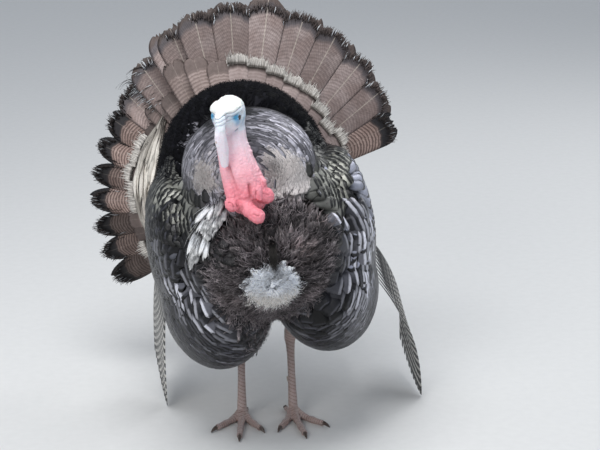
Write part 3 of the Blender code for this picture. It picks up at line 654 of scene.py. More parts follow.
def grow(name, form, roots, headings, lengths, widths, material, slot, profile=square_tip,
         sink=0.010, rise=0.003, yaw=0.10, curl=0.0, seed=1, **more):
    """Feathers that follow the outline of the body from their roots: the quill starts a sink
    under it and the tip lifts by a rise; yaw is the scatter of their ways, in radians."""
    rng = np.random.default_rng(seed + 100)
    stations = form["stations"]
    count = len(roots)
    lengths = np.broadcast_to(lengths, count)
    widths = np.broadcast_to(widths, count)
    rise = np.broadcast_to(rise, count)
    spine = np.zeros((count, len(stations), 3))
    up = np.zeros_like(spine)
    turns = rng.normal(0.0, yaw, count)
    phase = rng.uniform(0.0, 2 * math.pi, count)
    for i in range(count):
        place, normal = outline.find_nearest(Vector(roots[i]))[:2]
        heading = Vector(headings[i])
        heading = (heading - normal * heading.dot(normal)).normalized()
        heading = heading * math.cos(turns[i]) + normal.cross(heading) * math.sin(turns[i])
        last = 0.0
        for k, share in enumerate(stations):
            ahead = place + heading * float(lengths[i] * (share - last))
            place, normal, face = outline.find_nearest(ahead)[:3]
            heading = (heading - normal * heading.dot(normal)).normalized()
            spine[i, k] = place
            up[i, k] = outline_normals[outline_corners[face]].mean(axis=0)
            last = share
    for _ in range(3):
        up[:, 1:-1] = (up[:, :-2] + up[:, 1:-1] * 2 + up[:, 2:]) / 4
        up = unit(up)
    lift = -sink + (sink + rise)[:, None] * stations[None] ** 0.9
    spine = spine + up * lift[:, :, None]
    if curl:
        sideways = np.cross(unit(np.gradient(spine, axis=1)), up)
        sway = np.sin(stations[None] * 7.0 + phase[:, None]) * stations[None] * curl
        hop = np.cos(stations[None] * 6.0 + phase[:, None] * 1.7) * stations[None] * curl * 0.6
        spine = spine + (sideways * sway[:, :, None] + up * hop[:, :, None]) * lengths[:, None, None]
    half = widths[:, None] / 2 * profile(stations)[None]
    return stamp(name, form, spine, up, half, material, slot, seed=seed, **more)


OUTSIDE = 0.7                               # further from the middle than any of the outline


def rings(centre, pole, start, end, gap, pitch, home, seed, reach=0.012, loose=0.30, warp=0.0):
    """Roots in staggered rings round a pole, and the way outwards from it. The rings run from
    the start angle to the end angle, a gap apart, with a pitch between neighbours, where the
    outline is within reach of its home solids. Loose scatters the roots, and warp makes the
    rings wander from true circles."""
    rng = np.random.default_rng(seed)
    pole = Vector(pole).normalized()
    east = pole.orthogonal().normalized()
    north = pole.cross(east)
    roots, headings = [], []
    angle = start
    while angle < end:
        around = [pole * math.cos(angle) + (east * math.cos(t) + north * math.sin(t)) * math.sin(angle)
                  for t in np.linspace(0.0, 2 * math.pi, 12, endpoint=False)]
        hits = [outline.ray_cast(centre + way * OUTSIDE, -way)[0] for way in around]
        size = float(np.mean([(hit - centre).length for hit in hits if hit is not None]))
        count = max(int(2 * math.pi * size * math.sin(angle) / pitch), 3)
        first = rng.uniform(0.0, 1.0)
        for k in range(count):
            t = 2 * math.pi * (k + first + rng.normal(0.0, 0.12 * loose)) / count
            a = angle + rng.normal(0.0, 0.3 * loose) * gap / size
            flat = east * math.cos(t) + north * math.sin(t)
            if warp:
                a += warp * noise.noise((pole * math.cos(a) + flat * math.sin(a)) * 3.0)
            way = pole * math.cos(a) + flat * math.sin(a)
            hit = outline.ray_cast(centre + way * OUTSIDE, -way)[0]
            if hit is None or home.find_nearest(hit)[3] > reach:
                continue
            roots.append(hit)
            headings.append(flat * math.cos(a) - pole * math.sin(a))
        angle += gap / size
    return np.array(roots), np.array(headings)


# The colours of a vane run from its root over the body, with a sheen in places, to a band and
# an edge near the tip; bars cross it, the chevron bows them, and mottle and vary scatter the
# strength within a feather and from one to the next.
SOCKETS = {"Root": (0.03, 0.03, 0.03, 1.0), "Body": (0.2, 0.2, 0.2, 1.0), "Sheen": (0.2, 0.2, 0.2, 1.0),
           "Band": (0.01, 0.01, 0.01, 1.0), "Edge": (0.2, 0.2, 0.2, 1.0),
           "Band Start": 0.75, "Band Soft": 0.02, "Edge Start": 2.0,
           "Bars": 0.0, "Patchy": 1.0, "Bar Width": 0.0, "Bar Count": 8.0,
           "Bar Colour": (0.03, 0.02, 0.015, 1.0),
           "Chevron": 0.05, "Mottle": 0.3, "Shaft": 0.0, "Vary": 0.5}
vane = bpy.data.node_groups.new("feather vane", "ShaderNodeTree")
for name, value in SOCKETS.items():
    kind = "NodeSocketColor" if isinstance(value, tuple) else "NodeSocketFloat"
    vane.interface.new_socket(name, in_out="INPUT", socket_type=kind).default_value = value
vane.interface.new_socket("Colour", in_out="OUTPUT", socket_type="NodeSocketColor")
vane.interface.new_socket("Height", in_out="OUTPUT", socket_type="NodeSocketFloat")
given = vane.nodes.new("NodeGroupInput").outputs
along, across, chance, light = (put(vane, "Attribute", attribute_name=name).outputs["Fac"]
                                for name in ("along", "across", "chance", "light"))
where = put(vane, "TexCoord").outputs["Object"]
grainy = put(vane, "TexNoise", {"Vector": where, "Scale": 190.0, "Detail": 3.0}).outputs["Fac"]
broad = put(vane, "TexNoise", {"Vector": where, "Scale": 26.0, "Detail": 2.0}).outputs["Fac"]
off_centre = calc(vane, "ABSOLUTE", across)
bowed = calc(vane, "MULTIPLY_ADD", calc(vane, "POWER", off_centre, 2.0), given["Chevron"], along)
bowed = calc(vane, "ADD", bowed, calc(vane, "MULTIPLY_ADD", grainy, 0.018, -0.009))
shining = ease(vane, calc(vane, "MULTIPLY_ADD", chance, 0.30, broad), 0.45, 0.82)
lit = mixed(vane, shining, given["Body"], given["Sheen"])
colour = mixed(vane, ease(vane, bowed, 0.10, 0.45), given["Root"], lit)
turns = calc(vane, "MULTIPLY", bowed, given["Bar Count"])
wave = calc(vane, "SINE", calc(vane, "MULTIPLY", turns, 2 * math.pi))
barring = ease(vane, calc(vane, "ADD", wave, given["Bar Width"]), -0.35, 0.45)
barring = calc(vane, "MULTIPLY", barring, given["Bars"])
worn = ease(vane, calc(vane, "MULTIPLY_ADD", along, 1.1, calc(vane, "MULTIPLY", broad, 1.2)), 0.75, 1.35)
worn = calc(vane, "MULTIPLY_ADD", calc(vane, "SUBTRACT", worn, 1.0), given["Patchy"], 1.0)
barring = calc(vane, "MULTIPLY", barring, worn)
colour = mixed(vane, barring, colour, given["Bar Colour"])
band = ease(vane, bowed, calc(vane, "SUBTRACT", given["Band Start"], given["Band Soft"]),
            calc(vane, "ADD", given["Band Start"], 0.02))
colour = mixed(vane, band, colour, given["Band"])
edge = ease(vane, bowed, given["Edge Start"], calc(vane, "ADD", given["Edge Start"], 0.03))
colour = mixed(vane, edge, colour, given["Edge"])
shaft = calc(vane, "MULTIPLY", ease(vane, off_centre, 0.036, 0.014), given["Shaft"])
colour = mixed(vane, shaft, colour, (0.50, 0.44, 0.38, 1))
slant = calc(vane, "ADD", calc(vane, "MULTIPLY", along, 38.0), calc(vane, "MULTIPLY", off_centre, -9.0))
barbs = calc(vane, "SINE", calc(vane, "MULTIPLY", slant, 2 * math.pi))
strength = calc(vane, "MULTIPLY_ADD", calc(vane, "SUBTRACT", grainy, 0.5), given["Mottle"], 1.0)
own = calc(vane, "MULTIPLY_ADD", calc(vane, "SUBTRACT", chance, 0.5), given["Vary"], 1.0)
strength = calc(vane, "MULTIPLY", strength, own)
strength = calc(vane, "MULTIPLY", strength, calc(vane, "MULTIPLY_ADD", barbs, 0.10, 1.0))
strength = calc(vane, "MULTIPLY", strength, light)
scaled = put(vane, "VectorMath", {0: colour, "Scale": strength}, operation="SCALE").outputs[0]
leaving = vane.nodes.new("NodeGroupOutput")
vane.links.new(scaled, leaving.inputs["Colour"])
vane.links.new(calc(vane, "MULTIPLY_ADD", barbs, 0.5, grainy), leaving.inputs["Height"])


def vane_node(tree, values):
    """The shared vane pattern with one set of values."""
    made = put(tree, "Group", node_tree=vane)
    for key, value in values.items():
        made.inputs[key].default_value = (*value, 1.0) if isinstance(value, tuple) else value
    return made


def plume(name, roughness, near, far=None, **fixed):
    """A feather finish; near and far are two sets of vane values that the tract's tone mixes."""
    material, tree, shader = finish(name, roughness, **fixed)
    first = vane_node(tree, near)
    colour = first.outputs["Colour"]
    if far:
        second = vane_node(tree, {**near, **far})
        tone = put(tree, "Attribute", attribute_name="tone").outputs["Fac"]
        colour = mixed(tree, tone, colour, second.outputs["Colour"])
    tree.links.new(colour, shader.inputs["Base Color"])
    bumped(tree, shader, first.outputs["Height"], 0.25, 0.0004)
    return material


# ==== Crop: the collar round the bare neck =========================================
# Small dense feathers that stand out round the neck like a ruff: olive and velvety next to
# the skin, then glossy with a painted grey-lilac sheen in neat arcs, and black at the rim.

# the near values paint a grey-lilac sheen on dark feathers; the far ones are the olive velvet
ruff = plume("ruff feather with painted grey sheen", 0.36,
             {"Root": (0.012, 0.011, 0.012), "Body": (0.215, 0.210, 0.240), "Sheen": (0.42, 0.41, 0.46),
              "Band": (0.110, 0.106, 0.122), "Band Start": 0.95,
              "Chevron": 0.0, "Vary": 1.0, "Mottle": 0.6},
             {"Root": (0.40, 0.365, 0.345), "Body": (0.52, 0.475, 0.455), "Sheen": (0.60, 0.555, 0.54),
              "Band": (0.50, 0.455, 0.435), "Vary": 0.06, "Mottle": 0.12},
             Metallic=0.10, Specular_IOR_Level=0.25)
crop_tree = tree_of("crop")
around_neck = NECK_FOOT - CROP
roots, headings = rings(CROP, around_neck, 0.22, 2.3, 0.0054, 0.0200, crop_tree, 3, loose=0.7, warp=0.16)
# spots are (place, radius, gain): where the plumage turns to velvet, and where it gleams or
# lies in shade
VELVET = (((0.014, -0.220, 0.487), 0.032, 1.4), ((0.040, -0.203, 0.474), 0.024, 1.0),
          ((-0.098, -0.207, 0.490), 0.028, 1.1))
GLEAMS = (((-0.005, -0.198, 0.545), 0.024, 0.5), ((0.024, -0.194, 0.540), 0.024, 0.5),
          ((0.049, -0.172, 0.546), 0.030, 0.8), ((0.010, -0.170, 0.562), 0.022, 0.75),
          ((-0.116, -0.170, 0.541), 0.026, 0.4), ((0.006, -0.118, 0.590), 0.036, -0.75),
          ((-0.118, -0.192, 0.462), 0.030, -0.35), ((0.075, -0.130, 0.550), 0.030, -0.3),
          ((-0.090, -0.150, 0.575), 0.030, -0.5), ((0.080, -0.150, 0.515), 0.030, -0.60))
velvet = np.clip(near_spots(roots, VELVET) - 0.25, 0.0, 1.0)
gleam = near_spots(roots, GLEAMS, 0.62)
rim = np.interp(roots[:, 0], (-0.070, -0.030, -0.015, 0.015, 0.050), (0.544, 0.562, 0.573, 0.573, 0.560))
above_rim = roots[:, 2] - rim - 0.10 * (roots[:, 1] + 0.165)
black_rim = np.clip(above_rim / 0.016, 0.0, 1.0) * (roots[:, 1] > -0.185)
black_corner = (roots[:, 0] < -0.085) & (roots[:, 1] > -0.150) & (roots[:, 2] > 0.525)
gleam = gleam * (1.0 - velvet) * (1.0 - 0.85 * black_rim) * (1.0 - 0.9 * black_corner)
gleam = np.clip(gleam + velvet, 0.04, 1.5)
rng = np.random.default_rng(4)
long = rng.uniform(0.027, 0.032, len(roots))
wide = rng.uniform(0.028, 0.040, len(roots))
rise = rng.uniform(0.0020, 0.0032, len(roots)) - 0.008 * velvet - 0.002 * black_corner
grow("crop_feathers", small_vane, roots, headings, long, wide, ruff, "black_feather", sink=0.009,
     rise=rise, yaw=0.05, camber=0.05, tone=velvet, light=gleam, ragged=0.010, seed=5)

VELVET_RIM = (((-0.004, -0.222, 0.514), 0.018, 1.0), ((0.000, -0.226, 0.495), 0.024, 1.0))
VELVET_SHADES = (((-0.014, -0.224, 0.505), 0.018, -0.80), ((0.022, -0.212, 0.512), 0.030, 0.25),
                 ((-0.098, -0.207, 0.490), 0.040, -0.60), ((0.064, -0.184, 0.486), 0.022, -0.65),
                 ((0.040, -0.222, 0.460), 0.016, -0.40))
roots, headings = rings(CROP, around_neck, 0.05, 1.5, 0.0036, 0.0044, crop_tree, 6, loose=0.8)
rng = np.random.default_rng(7)
softness = near_spots(roots, VELVET + VELVET_RIM) + rng.normal(0.0, 0.12, len(roots))
keep = softness > 0.36
roots, headings, softness = roots[keep], headings[keep], softness[keep]
shade = near_spots(roots, VELVET_SHADES, 1.15)
grow("crop_velvet", small_vane, roots, headings, rng.uniform(0.016, 0.021, len(roots)), 0.0130, ruff,
     "black_feather", profile=round_tip, sink=0.0000, rise=0.0022, yaw=0.08, camber=0.0,
     tone=np.clip((softness - 0.40) / 0.35, 0.0, 1.0), light=np.clip(shade, 0.15, 1.2), ragged=0.02, seed=8)


# ==== Head bristles ================================================================
# A few short hair-like bristles on the crown, the nape and the back of the bare neck.

bristle = plume("dark bristle", 0.40,
                {"Root": (0.010, 0.009, 0.008), "Body": (0.016, 0.014, 0.012), "Sheen": (0.026, 0.022, 0.019),
                 "Band": (0.020, 0.017, 0.015), "Edge": (0.05, 0.04, 0.03),
                 "Band Start": 0.8, "Edge Start": 0.95})
rng = np.random.default_rng(10)
BRISTLES_ON_HEAD = 130
hairy = np.flatnonzero((h[:, 1] < -0.004) & (places[:, 2] > 0.520) & ~on_snood)
chosen = rng.choice(hairy, BRISTLES_ON_HEAD, replace=False)
roots, outward = places[chosen], normals[chosen]
lie = unit(outward * 0.35 + np.array((0.0, 0.45, -0.60)) + rng.normal(0.0, 0.22, (len(chosen), 3)))
reach = rng.uniform(0.003, 0.007, len(chosen))[:, None, None]
spine = roots[:, None] - outward[:, None] * 0.0006 + lie[:, None] * reach * hair_rows
stamp_hairs("head_bristles", spine, outward, 0.00022, bristle, "black_feather",
            camber=0.1, thick=0.00008, seed=9)


# ==== Mantle: the raised back ======================================================
# The puffed back feathers, velvet black from in front, with bronze middles that show from
# above and behind, and a soft fuzz of loose barbs along the rim.

velvet_black = plume("black mantle feather", 0.62,
                     {"Root": (0.004, 0.004, 0.004), "Body": (0.0055, 0.0055, 0.007),
                      "Sheen": (0.010, 0.010, 0.013), "Band": (0.003, 0.003, 0.0035),
                      "Band Start": 0.88, "Chevron": -0.12},
                     {"Body": (0.075, 0.052, 0.028), "Sheen": (0.15, 0.12, 0.06), "Band Start": 0.86},
                     Specular_IOR_Level=0.06)
centre = middle("mantle")
mantle_tree = tree_of("mantle")
forward = (-0.05, -1.0, 0.25)
roots, headings = rings(centre, forward, 0.35, 2.7, 0.0105, 0.0150, mantle_tree, 11, loose=0.5)
behind = np.clip((roots[:, 1] - centre.y - 0.02) / 0.05, 0.0, 1.0)
grow("mantle_feathers", small_vane, roots, headings, 0.044, 0.027, velvet_black, "black_feather", sink=0.011,
     rise=0.004, yaw=0.14, tone=behind, ragged=0.03, seed=12)
roots, headings = rings(centre, forward, 0.5, 1.9, 0.0062, 0.0052, mantle_tree, 13, loose=1.2)
rng = np.random.default_rng(14)
grow("mantle_fuzz", hair, roots, headings, rng.uniform(0.016, 0.028, len(roots)), 0.0016, velvet_black,
     "black_feather", profile=strand, sink=0.004, rise=0.0080, yaw=0.45, curl=0.10, camber=0.1, seed=15)


# ==== Shoulders ====================================================================
# Broad feathers in arcs round the foot of the neck, bronze-green with a pale sheen and a
# black rim, that pass under the folded wings. They part over the middle of the breast.

def patch_gap(roots):
    """How far each root lies from the middle of the white patch."""
    return np.linalg.norm(roots - np.array(DOWN_PATCH), axis=1)


def over_parting(roots, high):
    """Whether each root lies in the middle of the breast, within some height of the patch."""
    return (patch_gap(roots) < high) & (np.abs(roots[:, 0] - 0.01) < 0.070)


bronze = plume("bronze shoulder feather", 0.34,
               {"Root": (0.010, 0.009, 0.008), "Body": (0.150, 0.150, 0.132), "Sheen": (0.31, 0.31, 0.275),
                "Band": (0.008, 0.008, 0.008), "Band Start": 0.885, "Chevron": -0.03, "Vary": 0.35},
               {"Body": (0.011, 0.010, 0.011), "Sheen": (0.034, 0.032, 0.036)},
               Metallic=0.30)
back_tree = tree_of("trunk", "wing_left", "wing_right", "rump")
trunk_tree = tree_of("trunk")
roots, headings = rings(TRUNK, NECK_FOOT - TRUNK, 0.20, 1.9, 0.0108, 0.0155, back_tree, 21, loose=0.3)
SHOULDERS = (((-0.142, -0.152, 0.434), 0.045, 1.3), ((-0.120, -0.209, 0.415), 0.030, 1.0),
             ((-0.166, -0.060, 0.458), 0.050, 1.0), ((0.095, -0.040, 0.508), 0.045, 1.2),
             ((0.113, -0.129, 0.472), 0.040, 1.3), ((0.092, -0.195, 0.448), 0.028, 1.0),
             ((0.079, -0.168, 0.475), 0.026, 0.9), ((0.105, -0.170, 0.448), 0.026, 0.9),
             ((0.050, -0.195, 0.478), 0.028, 0.7))
shoulder = np.clip(near_spots(roots, SHOULDERS), 0.0, 1.0)
on_trunk = np.array([trunk_tree.find_nearest(Vector(root))[3] for root in roots]) < 0.012
keep = (roots[:, 1] < 0.05) & (on_trunk | (shoulder > 0.35))
tips = roots + headings * 0.040
lobe_end = np.where(tips[:, 0] > 0.0, 0.417, 0.396)
wing_edge = 0.137 - 0.25 * np.clip(0.475 - tips[:, 2], 0.0, 0.1)
keep &= (roots[:, 2] > 0.398) & (tips[:, 0] < wing_edge) & (near_spots(tips, VELVET) < 0.30)
keep &= ~over_parting(roots, 0.155)
shoulder *= np.clip((tips[:, 2] - lobe_end) / 0.016, 0.0, 1.0)
grow("shoulder_feathers", broad_vane, roots[keep], headings[keep], 0.046, 0.030, bronze, "black_feather",
     sink=0.011, rise=0.0055, yaw=0.05, camber=0.10, tone=1.0 - shoulder[keep], ragged=0.015, seed=22)


# ==== Breast, flanks and thighs ====================================================
# The long glossy black feathers part on the middle of the breast and point away from it in
# arcs; below they hang in a full lobe over each leg.

# near: black feathers with a faint painted highlight bar near the tip; far: a bright painted highlight bar
# there, which the tone mixes in
gloss = plume("glossy black feather", 0.30,
              {"Root": (0.003, 0.003, 0.003), "Body": (0.005, 0.005, 0.006), "Sheen": (0.016, 0.016, 0.020),
               "Band": (0.042, 0.042, 0.052), "Edge": (0.0025, 0.0025, 0.0030),
               "Band Start": 0.895, "Edge Start": 0.930, "Chevron": -0.05, "Vary": 1.2, "Mottle": 0.6},
              {"Body": (0.035, 0.035, 0.041), "Sheen": (0.13, 0.13, 0.15), "Band": (0.60, 0.60, 0.66),
               "Band Start": 0.875, "Band Soft": 0.030, "Edge Start": 0.945, "Chevron": 0.0, "Vary": 1.0},
              Specular_IOR_Level=0.25)
# spots (place, radius, gain) where the bright painted highlight bars lie across the feather ends
PAINTED_HIGHLIGHTS = (((0.092, -0.222, 0.398), 0.032, 1.2), ((0.122, -0.192, 0.345), 0.034, 1.2),
        ((0.107, -0.203, 0.300), 0.026, 0.9), ((0.146, -0.178, 0.372), 0.026, 0.7),
        ((-0.120, -0.195, 0.308), 0.024, 1.1), ((-0.095, -0.215, 0.298), 0.026, 1.2),
        ((-0.085, -0.220, 0.275), 0.020, 0.9), ((0.160, -0.150, 0.260), 0.028, 0.4),
        ((0.115, -0.197, 0.250), 0.026, 0.4))
PARTING = DOWN_PATCH + Vector((0.0, 0.010, 0.020))
LONG, WIDE = 0.058, 0.048
for node, start, end, gap, loose in (("trunk", 0.45, 3.05, 0.0120, 0.35),
                                     ("thigh_left", 0.12, 3.0, 0.0080, 0.30),
                                     ("thigh_right", 0.12, 3.0, 0.0085, 0.15)):
    centre = middle(node)
    roots, headings = rings(centre, PARTING - centre, start, end, gap, 0.0290, tree_of(node), 41,
                            loose=loose, warp=0.03)
    keep = (roots[:, 2] > 0.130) & (patch_gap(roots) > 0.055)
    if node == "trunk":
        keep &= (roots[:, 2] < 0.410) | (roots[:, 1] > 0.03)
        keep &= ~(over_parting(roots, 0.140) & (roots[:, 2] > DOWN_PATCH.z))
    # how much of the bright painted highlight each feather carries: strong near the spots on most feathers,
    # faint on a few anywhere
    pale = np.clip(near_spots(roots, PAINTED_HIGHLIGHTS), 0.0, 1.0)
    rng = np.random.default_rng(42)
    pale = pale * np.where(rng.uniform(0.0, 1.0, len(roots)) < 0.76, 1.0, 0.14)
    pale = np.maximum(pale, 0.16 * (rng.uniform(0.0, 1.0, len(roots)) < 0.12))
    back = np.clip((roots[:, 1] - TRUNK.y) / 0.08, 0.0, 1.0)[:, None]
    lie = unit(unit(headings) * (1.0 - 0.8 * back) + np.array((0.0, 0.8, -0.35)) * back)
    # painted shade: the feathers on the bird's right side are darker
    right_flank_shade = 1.0 - 0.75 * np.clip((-0.158 - roots[:, 0]) / 0.015, 0.0, 1.0)
    size = np.interp(patch_gap(roots[keep]), (0.055, 0.135), (0.55, 1.0))
    grow(node + "_feathers", broad_vane, roots[keep], lie[keep], LONG * size, WIDE * size, gloss,
         "black_feather", sink=0.012, rise=0.0040, yaw=0.06, camber=0.12, tone=pale[keep],
         light=right_flank_shade[keep], ragged=0.012, seed=43)


# ==== Breast fluff and down ========================================================
# Where the breast feathers part, soft curly plumes and, below them, a patch of white down
# show through.

fluff = plume("brown breast plume", 0.65,
              {"Root": (0.010, 0.008, 0.008), "Body": (0.026, 0.022, 0.023), "Sheen": (0.065, 0.056, 0.060),
               "Band": (0.085, 0.074, 0.078), "Edge": (0.17, 0.15, 0.152),
               "Band Start": 0.65, "Edge Start": 0.88,
               "Mottle": 1.0, "Vary": 1.4},
              {"Body": (0.16, 0.13, 0.13), "Sheen": (0.28, 0.22, 0.22), "Band": (0.26, 0.21, 0.21)},
              Specular_IOR_Level=0.3)
body_tree = tree_of("trunk", "thigh_left", "thigh_right")
PINK = (((0.038, -0.276, 0.380), 0.016, 0.9), ((0.068, -0.239, 0.424), 0.014, 0.7),
        ((-0.060, -0.250, 0.300), 0.022, 0.35), ((0.060, -0.250, 0.300), 0.016, 0.4),
        ((-0.045, -0.255, 0.415), 0.012, 0.5))


def parting_share(roots):
    """0 in the middle of the parting, 1 at its rim: widest above, narrow between the legs."""
    place = roots - np.array(DOWN_PATCH)
    wide = np.interp(place[:, 2], (-0.10, -0.03, 0.05, 0.12), (0.048, 0.082, 0.104, 0.104))
    to_side = place[:, 0] + np.interp(place[:, 2], (0.00, 0.08), (0.010, -0.004))
    high = np.where(place[:, 2] > 0.0, 0.124, 0.155)
    return np.hypot(to_side / wide, place[:, 2] / high)


def clumps(roots, middle_light, swing, most):
    """Light and dark clumps of plumes some centimetres across."""
    ripple = np.array([noise.noise(Vector(root) * 42.0) for root in roots])
    return (middle_light + swing * ripple).clip(0.3, most)


from_trunk = DOWN_PATCH - TRUNK
roots, headings = rings(TRUNK, from_trunk, 0.12, 1.1, 0.0078, 0.0110, body_tree, 29,
                        reach=0.016, loose=1.0)
keep = (patch_gap(roots) > 0.030) & (parting_share(roots) < 0.98)
roots, headings = roots[keep], headings[keep]
grow("breast_plumes", small_vane, roots, headings, 0.034, 0.0150, fluff, "black_feather",
     profile=round_tip, sink=0.010, rise=0.002, yaw=0.5, curl=0.05, roll=0.3, ragged=0.16, seed=30,
     light=clumps(roots, 0.85, 1.2, 1.6), tone=np.clip(near_spots(roots, PINK), 0.0, 0.6))
roots, headings = rings(TRUNK, from_trunk, 0.12, 1.15, 0.0033, 0.0034, body_tree, 31,
                        reach=0.018, loose=1.4)
rng = np.random.default_rng(32)
frayed_rim = parting_share(roots) + rng.normal(0.0, 0.09, len(roots))
keep = (patch_gap(roots) > 0.034) & (frayed_rim < 1.0)
roots, headings = roots[keep], headings[keep]
long = rng.uniform(0.014, 0.026, len(roots))
wide = rng.uniform(0.0008, 0.0015, len(roots))
grow("breast_fluff", hair, roots, headings, long, wide, fluff, "black_feather", profile=strand,
     sink=0.004, rise=0.008, yaw=0.6, curl=0.20, roll=0.6, camber=0.1, seed=33,
     light=clumps(roots, 1.65, 3.0, 3.0), tone=np.clip(near_spots(roots, PINK), 0.0, 0.8))

down = plume("white down", 0.80,
             {"Root": (0.76, 0.79, 0.85), "Body": (0.86, 0.90, 0.97), "Sheen": (0.92, 0.95, 1.0),
              "Band": (0.86, 0.89, 0.95), "Edge": (0.92, 0.93, 0.94), "Band Start": 0.55, "Edge Start": 0.85,
              "Mottle": 0.5, "Vary": 0.6},
             {"Root": (0.50, 0.46, 0.43), "Body": (0.80, 0.76, 0.72), "Sheen": (0.88, 0.84, 0.80),
              "Band": (0.88, 0.84, 0.80)},
             Specular_IOR_Level=0.2)
DARK_NOTCH = (((0.001, -0.283, 0.343), 0.008, -0.55),)
rng = np.random.default_rng(36)
for name, form, profile, gap, length, width, lift, curl in (
        ("breast_down", small_vane, round_tip, 0.0050, 0.019, 0.010, 0.001, 0.03),
        ("breast_down_tufts", hair, strand, 0.0016, 0.014, 0.0010, 0.006, 0.34)):
    roots, headings = rings(TRUNK, from_trunk, 0.01, 0.30, gap, gap * 1.1, back_tree, 35,
                            reach=0.02, loose=1.6)
    place = roots - np.array(DOWN_PATCH)
    patch_share = np.hypot((place[:, 0] + 0.003) / 0.036, (place[:, 2] + 0.004) / 0.035)
    keep = patch_share + rng.normal(0.0, 0.15, len(roots)) < 0.93
    roots, headings = roots[keep], headings[keep]
    cream_share = np.clip((DOWN_PATCH.z - 0.002 - roots[:, 2]) / 0.016, 0.0, 1.0)
    long = rng.uniform(0.6, 1.2, len(roots)) * length
    wide = rng.uniform(0.7, 1.3, len(roots)) * width
    grow(name, form, roots, headings, long, wide, down, "covert_feather", profile=profile, sink=0.003,
         rise=lift, yaw=0.9, curl=curl, roll=0.4, camber=0.1, seed=37, tone=cream_share,
         light=near_spots(roots, DARK_NOTCH, 1.0))


# ==== Loose tuft on the breast =====================================================
# A bunch of long pale feathers that have slipped out over the bird's right breast and hang.

tuft = plume("pale loose feather", 0.40,
             {"Root": (0.020, 0.020, 0.020), "Body": (0.46, 0.47, 0.49), "Sheen": (0.72, 0.73, 0.75),
              "Band": (0.62, 0.62, 0.62), "Band Start": 0.80, "Mottle": 0.8, "Vary": 1.2},
             Metallic=0.1)
UPPER_FEATHERS, LOWER_FEATHERS, STRANDS_EACH = 26, 16, 3
rng = np.random.default_rng(45)
upper = rng.normal(0.0, 1.0, (UPPER_FEATHERS, 3)) * (0.011, 0.004, 0.010) + (-0.094, -0.216, 0.446)
lower = rng.normal(0.0, 1.0, (LOWER_FEATHERS, 3)) * (0.009, 0.004, 0.009) + (-0.113, -0.213, 0.404)
roots = np.vstack((upper, lower))
spreading = (roots - np.array((-0.096, -0.216, 0.460))) * (11.0, 0.0, 0.0)
falls = (np.array((-0.08, -0.30, -1.0)) + spreading
         + rng.normal(0.0, 1.0, (len(roots), 3)) * (0.13, 0.05, 0.12))
long = rng.uniform(0.030, 0.044, len(roots))
wide = rng.uniform(0.011, 0.017, len(roots))
grow("breast_tuft", broad_vane, roots, falls, long, wide, tuft, "covert_feather", profile=square_tip,
     sink=0.001, rise=0.013, yaw=0.06, camber=0.25, ragged=0.09, seed=46)
roots = np.repeat(roots, STRANDS_EACH, axis=0)
roots = roots + rng.normal(0.0, 1.0, (len(roots), 3)) * (0.004, 0.002, 0.004)
falls = np.repeat(falls, STRANDS_EACH, axis=0) + rng.normal(0.0, 0.16, (len(roots), 3))
long = rng.uniform(0.026, 0.046, len(roots))
grow("breast_tuft_strands", hair, roots, falls, long, 0.0012, tuft, "covert_feather", profile=strand,
     sink=-0.004, rise=0.017, yaw=0.12, curl=0.04, camber=0.1, seed=47)


# ==== Folded wings =================================================================
# The upper wing: overlapping coverts with a painted grey-lilac sheen in front, black-edged,
# that point back and down over the roots of the flight feathers.

# the near values paint the grey-lilac sheen in front; the far ones are bronze, for the coverts behind
covert = plume("wing covert", 0.30,
               {"Root": (0.010, 0.010, 0.010), "Body": (0.25, 0.26, 0.32), "Sheen": (0.42, 0.43, 0.52),
                "Band": (0.012, 0.012, 0.014), "Band Start": 0.90, "Band Soft": 0.05,
                "Chevron": 0.16, "Vary": 0.5},
               {"Body": (0.060, 0.045, 0.028), "Sheen": (0.20, 0.155, 0.085)},
               Metallic=0.25)
# the last value of each side darkens its whole wing: painted shade on the bird's right wing
for side, sign, shade in (("left", 1.0, 1.0), ("right", -1.0, 0.25)):
    node = "wing_" + side
    centre = middle(node)
    roots, headings = rings(centre, (-0.15 * sign, -1.0, 0.75), 0.06, 3.0, 0.0170, 0.0128, tree_of(node), 51,
                            loose=0.5, warp=0.05)
    lie = unit(unit(headings) * 0.6 + np.array((0.0, 0.6, -0.75)))
    behind = np.clip((roots[:, 1] - centre.y + 0.02) / 0.05, 0.0, 1.0)
    # painted shade: the coverts darker towards the outside edge of each wing
    outer_edge_shade = np.clip((np.abs(roots[:, 0]) - 0.180) / 0.012, 0.0, 1.0) * (behind < 0.5)
    grow(node + "_coverts", broad_vane, roots, lie, 0.058, 0.020, covert, "bronze_feather",
         sink=0.012, rise=0.004, yaw=0.06, tone=behind, light=(1.0 - 0.8 * outer_edge_shade) * shade,
         ragged=0.012, seed=52)


# ==== Rump and undertail ===========================================================
# Bronze-barred rump feathers that run up the base of the raised tail, and the soft dark
# feathers with pale tips that fill its back.

rump_plume = plume("rump feather", 0.36,
                   {"Root": (0.012, 0.010, 0.010), "Body": (0.10, 0.060, 0.035), "Sheen": (0.18, 0.11, 0.060),
                    "Band": (0.008, 0.007, 0.007), "Edge": (0.14, 0.080, 0.050),
                    "Band Start": 0.84, "Edge Start": 0.95, "Chevron": -0.10},
                   Metallic=0.30)
centre = middle("rump")
roots, headings = rings(centre, (0.0, -1.0, -0.2), 0.30, 2.6, 0.0130, 0.0190, tree_of("rump"), 61)
grow("rump_feathers", small_vane, roots, headings, 0.046, 0.029, rump_plume, "bronze_feather", sink=0.010,
     rise=0.004, ragged=0.02, seed=62)

